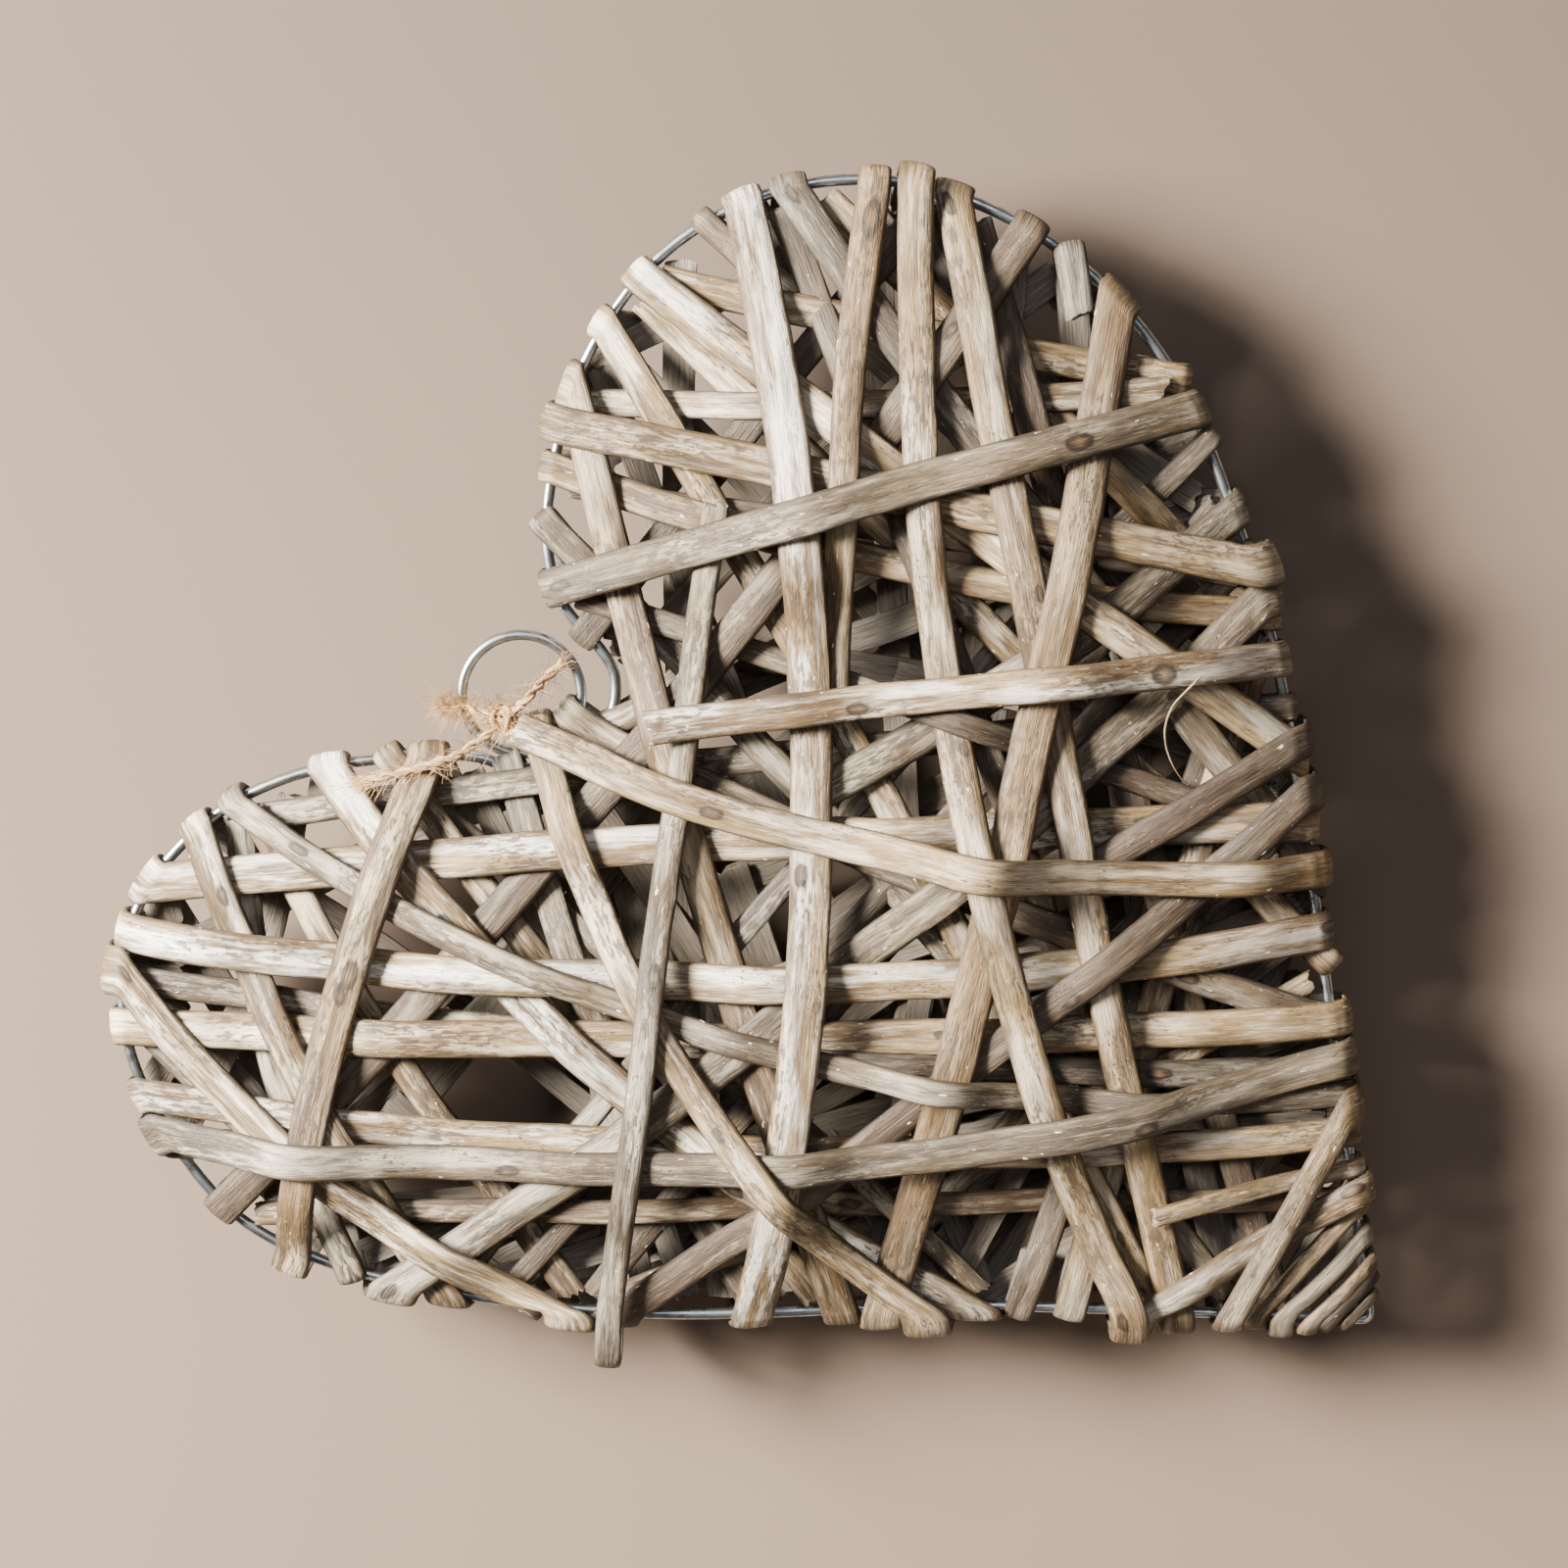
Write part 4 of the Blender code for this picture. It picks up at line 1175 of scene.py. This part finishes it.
        # A tucked end has to be covered, and a turned one comes down to the wire
        cover = np.array([row[int(h / self.level) + 1:].any() for row, h in zip(taken, climbed)])
        for places, near, blend in ((turns[0], slice(0, 4), np.array((0.85, 0.6, 0.35, 0.15))),
                                    (turns[1], slice(-4, None), np.array((0.15, 0.35, 0.6, 0.85)))):
            if places:
                climbed[near] = climbed[near] * (1 - blend) + self.turn_radius * blend
            elif cover[near].mean() < self.least_cover:
                return None, 0.0
        height = self.wire[0, 2] + side * climbed
        run = turns[0] + [(x, y, z) for (x, y), z in zip(spots, height)] + turns[1][::-1]
        deep = (at > self.deep) & (at < length - self.deep)
        thin = 1.0 / (1.0 + np.abs(np.diff(taken.astype(int), axis=1)).sum(axis=1) / 2.0)**2
        worth = float(thin[deep].mean()) if deep.any() else 0.0
        return self.course(run, way, half, side), worth - 4.0 * hit + 0.05 * sum(map(bool, turns))

    def add(self, rng: np.random.Generator, side: float, count: int) -> None:
        """Lay some strips, each where it is worth most among a few tries.

        Args:
            rng: the seeded source.
            side: 1 for the front, -1 for the back.
            count: how many.
        """
        for _ in range(count):
            best, most = None, -9.0
            half = rng.uniform(*self.widths) / 2.0
            goal = rng.uniform(*self.heights)
            for _ in range(self.tries):
                shares = tuple(rng.uniform(0.0, 1.0, 2))
                if np.linalg.norm(self.rim(shares[0])[0] - self.rim(shares[1])[0]) < self.shortest:
                    continue
                found, worth = self.lay(shares, side, half, goal, rng.uniform(-self.bow, self.bow))
                if found is not None and worth > most:
                    best, most = found, worth
            if best is not None:
                self.room.fill(best)
                self.laid.append(best)


@dataclass
class TipWinding:
    """Strips wound round both wires at the tip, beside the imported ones."""

    inner: InnerStrips
    places: tuple[tuple[float, float], ...] = ((3.4, 1.35), (6.9, 1.85))
    """How far above the tip each crosses the middle, and half its width."""

    dome: float = 0.03
    """How high each bulges between the wires, as a share of their distance."""

    shortest_tail: float = 2.4

    def courses(self) -> list[Course]:
        """Lay them side by side, each once round, with its ends meeting at the back.

        Returns:
            Their courses.
        """
        inner, laid = self.inner, []
        around = along_path(inner.wire)[-1]
        for place, half in self.places:
            # The wires leave the tip at 45 degrees
            share = place * math.sqrt(2.0) / around
            (start, out_start), (end, out_end) = inner.rim(share), inner.rim(1.0 - share)
            length = float(np.linalg.norm(end - start))
            way = (end - start) / length
            tail = max(self.shortest_tail, 0.45 * length)
            at = np.linspace(2.0, length - 2.0, max(4, round(length / inner.step)))
            bulge = self.dome * length * np.sin(at / length * math.pi)
            heights = inner.wire[0, 2] + inner.turn_radius + bulge
            run = [(*(start + way * a), z) for a, z in zip(at, heights)]
            run = (inner.turn(start, way, out_start, 1.0, tail) + run
                   + inner.turn(end, -way, out_end, 1.0, tail)[::-1])
            laid.append(inner.course(run, way, half, 1.0))
        return laid


@dataclass
class LooseFibre:
    """A sliver of bast that has sprung loose and curls over the face."""

    places: tuple[tuple[float, float, float], ...] = (
        (92.5, -17.6, 0.1), (88.0, -16.6, 1.2), (83.0, -16.2, 2.2), (78.5, -17.6, 2.6),
        (75.0, -20.6, 2.4), (72.6, -24.4, 1.8), (71.2, -28.4, 0.9), (70.9, -30.4, 0.4))
    """Where it passes, and how high over the face."""

    radius: float = 0.30
    root_lift: float = 0.7
    lift: float = 0.9
    """How high over the weave it leaves it, and runs on."""

    def build(self, room: WeaveRoom) -> bpy.types.Object:
        """Make the fibre on top of what the room holds.

        Args:
            room: the weave's room.
        Returns:
            The piece.
        """
        tops = []
        for x, y, _ in self.places:
            column = room.taken[room.cells(np.array((x, y)))]
            top = np.flatnonzero(column)[-1] if column.any() else 0
            tops.append(room.low[2] + top * room.cell[2])
        path = np.array(self.places)
        path[:, 2] += max(tops) + self.lift
        path[0, 2] = tops[0] + self.root_lift
        stations = along_path(path)
        wanted = np.linspace(0.0, stations[-1], 48)
        path = through(path, stations, wanted)
        rows = round_rows(path, self.radius * (1.0 - 0.6 * wanted / wanted[-1]), 6)
        shell = Shell()
        shell.add_loft(rows, np.linspace(0.0, 1.6, 7), wanted)
        return shell.make("loose_fibre", 60.0)


STRIP_FINISHES = (
    Willow.STRAW, Willow.DRIFT, Willow.STRAW, Willow.DRIFT, Willow.DRIFT, Willow.STRAW,
    Willow.UMBER, Willow.STRAW, Willow.CREAM, Willow.CREAM, Willow.HONEY, Willow.STRAW,
    Willow.CREAM, Willow.HONEY, Willow.DRIFT, Willow.DRIFT, Willow.CREAM, Willow.UMBER,
    Willow.CREAM, Willow.STRAW, Willow.STRAW, Willow.HONEY, Willow.UMBER, Willow.STRAW,
    Willow.HONEY, Willow.DRIFT, Willow.HONEY, Willow.CREAM, Willow.CREAM, Willow.CREAM,
    Willow.STRAW, Willow.STRAW, Willow.DRIFT, Willow.STRAW, Willow.DRIFT, Willow.STRAW,
    Willow.CREAM, Willow.DRIFT,
)
"""The finish of each strip, in the weaving order."""

# The inner strips take the darker finishes and none of the palest: painted shade deep in the weave
INNER_FINISHES = (Willow.STRAW, Willow.DRIFT, Willow.UMBER, Willow.DRIFT, Willow.HONEY, Willow.UMBER)
TIP_FINISHES = (Willow.DRIFT, Willow.UMBER)
"""The finishes of the other strips, in turn."""

KNOTS = {22: ((128.5, 105.2, 5.0, 2.0),), 27: ((-81.8, 95.6, 4.0, 1.9),),
         37: ((89.6, -9.2, 3.0, 2.6),), 38: ((116.5, 37.1, 3.6, 2.0),)}
"""The large knots of the strips that show them, by the strip's number."""


@dataclass
class WillowWeave:
    """All the strips of the heart."""

    front_inner: int = 26
    back_inner: int = 32
    inner_seed: int = 41
    strip_seeds: tuple[int, int, int] = (701, 801, 901)
    """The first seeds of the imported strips, the inner ones and those at the tip."""

    hidden_bud_spacing: float = 400.0
    margin: float = 3.0
    """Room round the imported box."""

    def build(self) -> list[bpy.types.Object]:
        """Make and dress every strip.

        Returns:
            The pieces.
        """
        materials = {finish: finish.value.build() for finish in Willow}
        low, high = (np.array(corner) / MM for corner in CAD_BOX)
        room = WeaveRoom(low - self.margin, high + self.margin)
        packed_seed, *other_seeds = self.strip_seeds
        made = []
        for i, finish in enumerate(STRIP_FINISHES):
            node = f"willow_strip_{i + 1:02d}"
            course = packed_course(PackedStrip(frame["nodes"][node]))
            room.fill(course)
            strip = WillowStrip(f"strip_{i + 1:02d}_skin", course, packed_seed + i,
                                scars=KNOTS.get(i + 1, ()))
            piece = dress(strip.build(), materials[finish])
            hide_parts(node)
            made.append(piece)
        for hole in frame["record"]["physics"]["openings"]:
            room.fill_box(*(np.array(corner) / MM for corner in hole["box_m"]))
        inner = InnerStrips(room, wire_line())
        rng = np.random.default_rng(self.inner_seed)
        inner.add(rng, 1.0, self.front_inner)
        inner.add(rng, -1.0, self.back_inner)
        others = (("inner_strip", inner.laid, INNER_FINISHES),
                  ("tip_winding", TipWinding(inner).courses(), TIP_FINISHES))
        for (name, courses, finishes), seed in zip(others, other_seeds):
            for i, course in enumerate(courses):
                strip = WillowStrip(f"{name}_{i + 1:02d}", course, seed + i,
                                    bud_spacing=self.hidden_bud_spacing)
                finish = materials[finishes[i % len(finishes)]]
                made.append(dress(strip.build(), finish))
        made.append(dress(LooseFibre().build(room), materials[Willow.CREAM]))
        return made


# Wire and ring

@dataclass
class SteelWork:
    """The wire heart, made anew along its packed line, and the ring, rounded from its solid."""

    wire_radius: float = 1.34
    wire_sides: int = 14
    wire_step: float = 1.6
    bend: float = 2.4
    """How far from the tip the wire starts to bend."""

    bend_rows: int = 7
    seam: int = 5
    """How many rows past the bend its ring of rows starts, so that the bend isn't cut in two."""

    ring_growth: float = 0.06
    """How far the ring's surface is moved out, because smoothing draws a tube in."""

    def heart(self) -> bpy.types.Object:
        """Make the wire heart as one ring of round wire, bent tightly at its tip.

        Returns:
            The piece.
        """
        line = wire_line()
        around = along_path(line)[-1]
        wanted = np.linspace(self.bend, around - self.bend, round(around / self.wire_step))
        path = through(line, along_path(line), wanted)
        t = np.linspace(0.0, 1.0, self.bend_rows + 2)[1:-1, None]
        tip = (1 - t)**2 * path[-1] + 2 * t * (1 - t) * line[0] + t**2 * path[0]
        path = np.roll(np.concatenate([path, tip]), -self.seam, axis=0)
        rows = round_rows(path, np.full(len(path), self.wire_radius), self.wire_sides)
        across = np.linspace(0.0, 2 * math.pi * self.wire_radius, self.wire_sides + 1)
        shell = Shell()
        shell.add_loft(rows, across, along_path(np.concatenate([path, path[:1]])), ring=True)
        piece = shell.make("steel_wire_heart", 60.0)
        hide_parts("wire_frame")
        return piece

    def ring(self) -> bpy.types.Object:
        """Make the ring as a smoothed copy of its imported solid.

        Returns:
            The piece.
        """
        piece = bpy.data.objects.new("steel_ring", frame["nodes"]["hanging_ring"].data.copy())
        bpy.context.scene.collection.objects.link(piece)
        pick(piece)
        bpy.ops.object.mode_set(mode="EDIT")
        bpy.ops.mesh.select_all(action="SELECT")
        bpy.ops.mesh.remove_doubles(threshold=SAME_PLACE)
        bpy.ops.mesh.tris_convert_to_quads()
        bpy.ops.transform.shrink_fatten(value=self.ring_growth * MM)
        bpy.ops.object.mode_set(mode="OBJECT")
        smooth = piece.modifiers.new("round", "SUBSURF")
        smooth.levels = smooth.render_levels = 2
        bpy.ops.object.modifier_apply(modifier=smooth.name)
        bpy.ops.object.shade_smooth()
        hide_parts("hanging_ring")
        return piece

    def build(self) -> list[bpy.types.Object]:
        """Make and dress both."""
        zinc = ZincFinish().build()
        return [dress(piece, zinc) for piece in (self.heart(), self.ring())]


# Twine

@dataclass
class TwineTie:
    """The jute tie on the hanging ring: a run of twine with a knot, a frayed short end and loose
    fibres. Places are millimetres in the heart's own frame."""

    route: tuple[tuple[float, float, float], ...] = (
        (5.3, 99.6, 37.1), (2.5, 100.1, 37.1), (-0.4, 100.6, 38.0), (-3.2, 100.9, 41.2),
        (-6.0, 101.3, 43.2), (-8.6, 101.7, 41.0), (-11.2, 102.2, 38.2), (-13.5, 102.5, 37.5),
        (-16.6, 103.1, 37.8), (-19.4, 103.6, 38.4), (-22.0, 104.4, 39.4), (-24.6, 105.3, 40.8),
        (-26.9, 106.5, 42.0), (-30.9, 109.2, 42.8), (-34.7, 112.1, 43.2), (-37.6, 114.4, 43.2),
        (-40.5, 116.7, 43.2), (-44.4, 119.6, 42.6))
    short_end: tuple[tuple[float, float, float], ...] = (
        (-13.9, 103.6, 38.4), (-15.4, 107.0, 38.2), (-17.2, 111.0, 37.5), (-19.6, 115.4, 37.3))
    knot_at: int = 7
    """Which place of the route the knot is at."""

    knot_size: tuple[float, float, float] = (2.15, 0.75, 1.75)
    """Its middle radius, how far that swells and shrinks, and half its length."""

    diameter: float = 2.3
    ply_radius: float = 0.60
    ply_offset: float = 0.62
    lay_length: float = 8.5
    """Millimetres in which the plies go once round each other."""

    spacing: float = 0.35
    hair_radius: float = 0.07
    """Real fibres are 0.03 mm; these are as fine as still shows."""

    seed: int = 77

    def along(self, places: tuple[tuple[float, float, float], ...]) -> np.ndarray:
        """Run a smooth line with evenly spaced points through places.

        Args:
            places: the places.
        Returns:
            The line.
        """
        spots = np.array(places)
        stations = along_path(spots)
        wanted = np.linspace(0.0, stations[-1], max(4, round(stations[-1] / self.spacing)))
        return through(spots, stations, wanted)

    def knot_line(self) -> np.ndarray:
        """Lay an overhand knot, pulled tight round the run.

        Returns:
            The line of its twine.
        """
        route = np.array(self.route)
        middle = route[self.knot_at] + np.array((0.0, 0.0, 0.7))
        axis = unit(route[self.knot_at + 1] - route[self.knot_at - 1])
        side = unit(np.cross(axis, (0.0, 0.0, 1.0)))
        up = np.cross(side, axis)
        radius, swell, half = self.knot_size
        t = np.linspace(0.0, 2 * math.pi, 90)
        ring = radius + swell * np.cos(3 * t)
        return (middle + side * (ring * np.cos(2 * t))[:, None] * 1.15
                + up * (ring * np.sin(2 * t))[:, None] * 0.85
                + axis * (half * np.sin(3 * t))[:, None])

    def add_plies(self, shell: Shell, path: np.ndarray, rng: np.random.Generator) -> None:
        """Add two plies that turn round a line.

        Args:
            shell: the piece that they go in.
            path: the line.
            rng: the seeded source of their unevenness.
        """
        distance = along_path(path)
        turn = distance / self.lay_length * 2 * math.pi
        tangents = unit(np.gradient(path, axis=0))
        first = unit(np.cross(tangents, (0.0, 0.0, 1.0)))
        second = np.cross(tangents, first)
        for phase in (0.0, math.pi):
            swell = 1.0 + 0.12 * drift(rng, distance, 5.0)
            way = first * np.cos(turn + phase)[:, None] + second * np.sin(turn + phase)[:, None]
            line = path + way * (self.ply_offset * swell)[:, None]
            rows = round_rows(line, self.ply_radius * swell, 10)
            across = np.linspace(0.0, 2 * math.pi * self.ply_radius, 11) + rng.uniform(0, 50)
            shell.add_loft(rows, across, distance + rng.uniform(0, 400))

    def add_hair(self, shell: Shell, start: np.ndarray, way: np.ndarray, length: float,
                 rng: np.random.Generator) -> None:
        """Add one loose fibre.

        Args:
            shell: the piece that it goes in.
            start: where it leaves.
            way: the way that it leaves.
            length: how long it is.
            rng: the seeded source of its curl.
        """
        t = np.linspace(0.0, 1.0, 7)[:, None]
        curl = unit(rng.normal(size=3)) * rng.uniform(0.15, 0.5) * length
        wave = unit(rng.normal(size=3)) * rng.uniform(0.02, 0.08) * length
        path = start + unit(way) * length * t + curl * t**2 + wave * np.sin(9.0 * t)
        path[:, 2] = np.maximum(path[:, 2], start[2] - 1.2)
        rows = round_rows(path, self.hair_radius * (1.1 - 0.6 * t[:, 0]), 3)
        shell.add_loft(rows, np.linspace(0.0, 0.3, 4), along_path(path))

    def fuzz(self, shell: Shell, path: np.ndarray, count: int, reach: tuple[float, float],
             rng: np.random.Generator) -> None:
        """Add loose fibres all along a line.

        Args:
            shell: the piece that they go in.
            path: the line.
            count: how many.
            reach: the shortest and the longest.
            rng: the seeded source.
        """
        tangents = unit(np.gradient(path, axis=0))
        for _ in range(count):
            i = int(rng.integers(0, len(path)))
            out = unit(np.cross(tangents[i], rng.normal(size=3)))
            start = path[i] + out * self.ply_radius * 1.5
            lean = tangents[i] * rng.choice((-1.0, 1.0)) * rng.uniform(0.4, 2.2)
            self.add_hair(shell, start, out + lean, rng.uniform(*reach), rng)

    def brush(self, shell: Shell, path: np.ndarray, count: int, spread: float,
              reach: tuple[float, float], rng: np.random.Generator) -> None:
        """Add the brush of fibres at a line's cut end.

        Args:
            shell: the piece that they go in.
            path: the line, up to that end.
            count: how many fibres.
            spread: how far they fan.
            reach: the shortest and the longest.
            rng: the seeded source.
        """
        way = unit(path[-1] - path[-8])
        for _ in range(count):
            start = path[-1] + rng.normal(size=3) * 0.6 - way * rng.uniform(0.0, 5.0)
            self.add_hair(shell, start, way + rng.normal(size=3) * spread, rng.uniform(*reach), rng)

    def build(self) -> list[bpy.types.Object]:
        """Returns:
            The pieces.
        """
        rng = np.random.default_rng(self.seed)
        jute = JuteFinish().build()
        route, short, knot = self.along(self.route), self.along(self.short_end), self.knot_line()
        shells = {name: Shell() for name in ("jute_run", "jute_knot", "jute_short_end", "jute_fuzz")}
        for name, line in (("jute_run", route), ("jute_knot", knot), ("jute_short_end", short)):
            self.add_plies(shells[name], line, rng)
        hairs = shells["jute_fuzz"]
        # Loose fibres: how many, and the shortest and longest. Cut ends: how far they fan, too
        for line, count, reach in ((route, 260, (2.0, 6.5)), (knot, 220, (2.5, 8.0)),
                                   (short, 200, (2.0, 6.0))):
            self.fuzz(hairs, line, count, reach, rng)
        for line, count, spread, reach in ((route, 70, 0.22, (4.0, 9.0)),
                                           (short, 460, 0.75, (2.5, 6.5)),
                                           (route[::-1], 40, 0.3, (2.5, 6.0))):
            self.brush(hairs, line, count, spread, reach, rng)
        made = {name: dress(shell.make(name, 60.0), jute) for name, shell in shells.items()}
        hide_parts("twine_lead", "twine_tail")
        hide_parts("twine_knot")
        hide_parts("twine_short_end")
        float(along_path(route)[-1]) * MM
        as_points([tuple(spot) for spot in route[::4] * MM] + [tuple(route[-1] * MM)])
        return list(made.values())


# Studio

@dataclass
class Studio:
    """The floor, the lights and the camera at the photograph's viewing angle, in metres."""

    middle: tuple[float, float, float] = (0.0130, 0.0414, 0.0342)
    """What the camera and the lights face."""

    span: float = 0.366
    """How much of the heart's plane the picture shows."""

    distance: float = 0.95
    lift: float = 8.0
    """Degrees that the camera stands towards the picture's top."""

    sensor: float = 36.0
    sun_power: float = 9.5
    sun_width: float = 16.0
    """Degrees of the sky that the bright window takes, which softens the shadows."""

    sky_colour: str = "E8E2DC"
    sky_power: float = 0.07

    def build_floor(self) -> None:
        """Lay the floor."""
        bpy.ops.object.select_all(action="DESELECT")
        bpy.ops.mesh.primitive_plane_add(size=8.0, location=(0.0, 0.0, 0.0))
        floor = bpy.context.active_object
        floor.name = "studio_floor"
        floor.data.materials.append(FloorFinish().build())

    def way(self, across: float, upwards: float, height: float) -> Vector:
        """Turn a way in the picture, with its height over the floor, to the heart's own frame."""
        return Vector(ACROSS) * across + Vector(UPWARDS) * upwards + Vector((0.0, 0.0, height))

    def hang(self, light: bpy.types.Light, colour: str, facing: Vector) -> bpy.types.Object:
        """Put a light in the scene.

        Args:
            light: the light.
            colour: its sRGB hex colour.
            facing: the way from what it lights to it.
        Returns:
            Its object.
        """
        light.color = paint(colour)[:3]
        hung = bpy.data.objects.new(light.name, light)
        hung.rotation_euler = facing.to_track_quat("Z", "Y").to_euler()
        bpy.context.scene.collection.objects.link(hung)
        return hung

    def add_light(self, name: str, place: tuple[float, float, float], size: float,
                  power: float, colour: str) -> None:
        """Hang a square soft light that faces the heart.

        Args:
            name: its name.
            place: metres along the picture's across, its upwards, and up from the floor.
            size: its side in metres.
            power: its power in watts.
            colour: its sRGB hex colour.
        """
        light = bpy.data.lights.new(name, "AREA")
        light.size = size
        light.energy = power
        spot = Vector(self.middle) + self.way(*place)
        spot.z = place[2]
        self.hang(light, colour, spot - Vector(self.middle)).location = spot

    def build_lights(self) -> None:
        """Hang the lights and set the sky."""
        self.add_light("key", (-0.80, 0.30, 0.56), 0.34, 78.0, "FFF7EC")
        window = bpy.data.lights.new("window", "SUN")
        window.energy = self.sun_power
        window.angle = math.radians(self.sun_width)
        self.hang(window, "FFF6EA", self.way(-0.80, 0.30, 0.62))
        self.add_light("top", (0.0, 0.7, 1.2), 1.0, 5.0, "F2F5FF")
        self.add_light("fill", (0.7, -0.8, 0.9), 1.0, 3.5, "FFEFE2")
        world = bpy.data.worlds.new("studio")
        world.use_nodes = True
        sky = world.node_tree.nodes["Background"]
        sky.inputs["Color"].default_value = paint(self.sky_colour)
        sky.inputs["Strength"].default_value = self.sky_power
        bpy.context.scene.world = world

    def build_camera(self) -> None:
        """Set the camera up nearly square to the face, a little towards the picture's top."""
        target, up, across = (Vector(v) for v in (self.middle, UPWARDS, ACROSS))
        tilt = math.radians(self.lift)
        back = Vector((0.0, 0.0, 1.0)) * math.cos(tilt) + up * math.sin(tilt)
        head = back.cross(across)
        data = bpy.data.cameras.new("camera")
        data.sensor_width = self.sensor
        data.lens = self.sensor * self.distance / self.span
        camera = bpy.data.objects.new("camera", data)
        camera.matrix_world = Matrix.Translation(target + back * self.distance) @ Matrix(
            (across, head, back)).transposed().to_4x4()
        bpy.context.scene.collection.objects.link(camera)
        bpy.context.scene.camera = camera

    def build(self) -> None:
        """Make all of it."""
        self.build_floor()
        self.build_lights()
        self.build_camera()


def main() -> None:
    """Dress the heart piece by piece."""
    logging.basicConfig(level=logging.INFO, format="%(message)s")
    Studio().build()
    for part in (SteelWork(), TwineTie(), WillowWeave()):
        for piece in part.build():
            LOG.info("%s: %d faces", piece.name, len(piece.data.polygons))


if __name__ == "__main__":
    main()
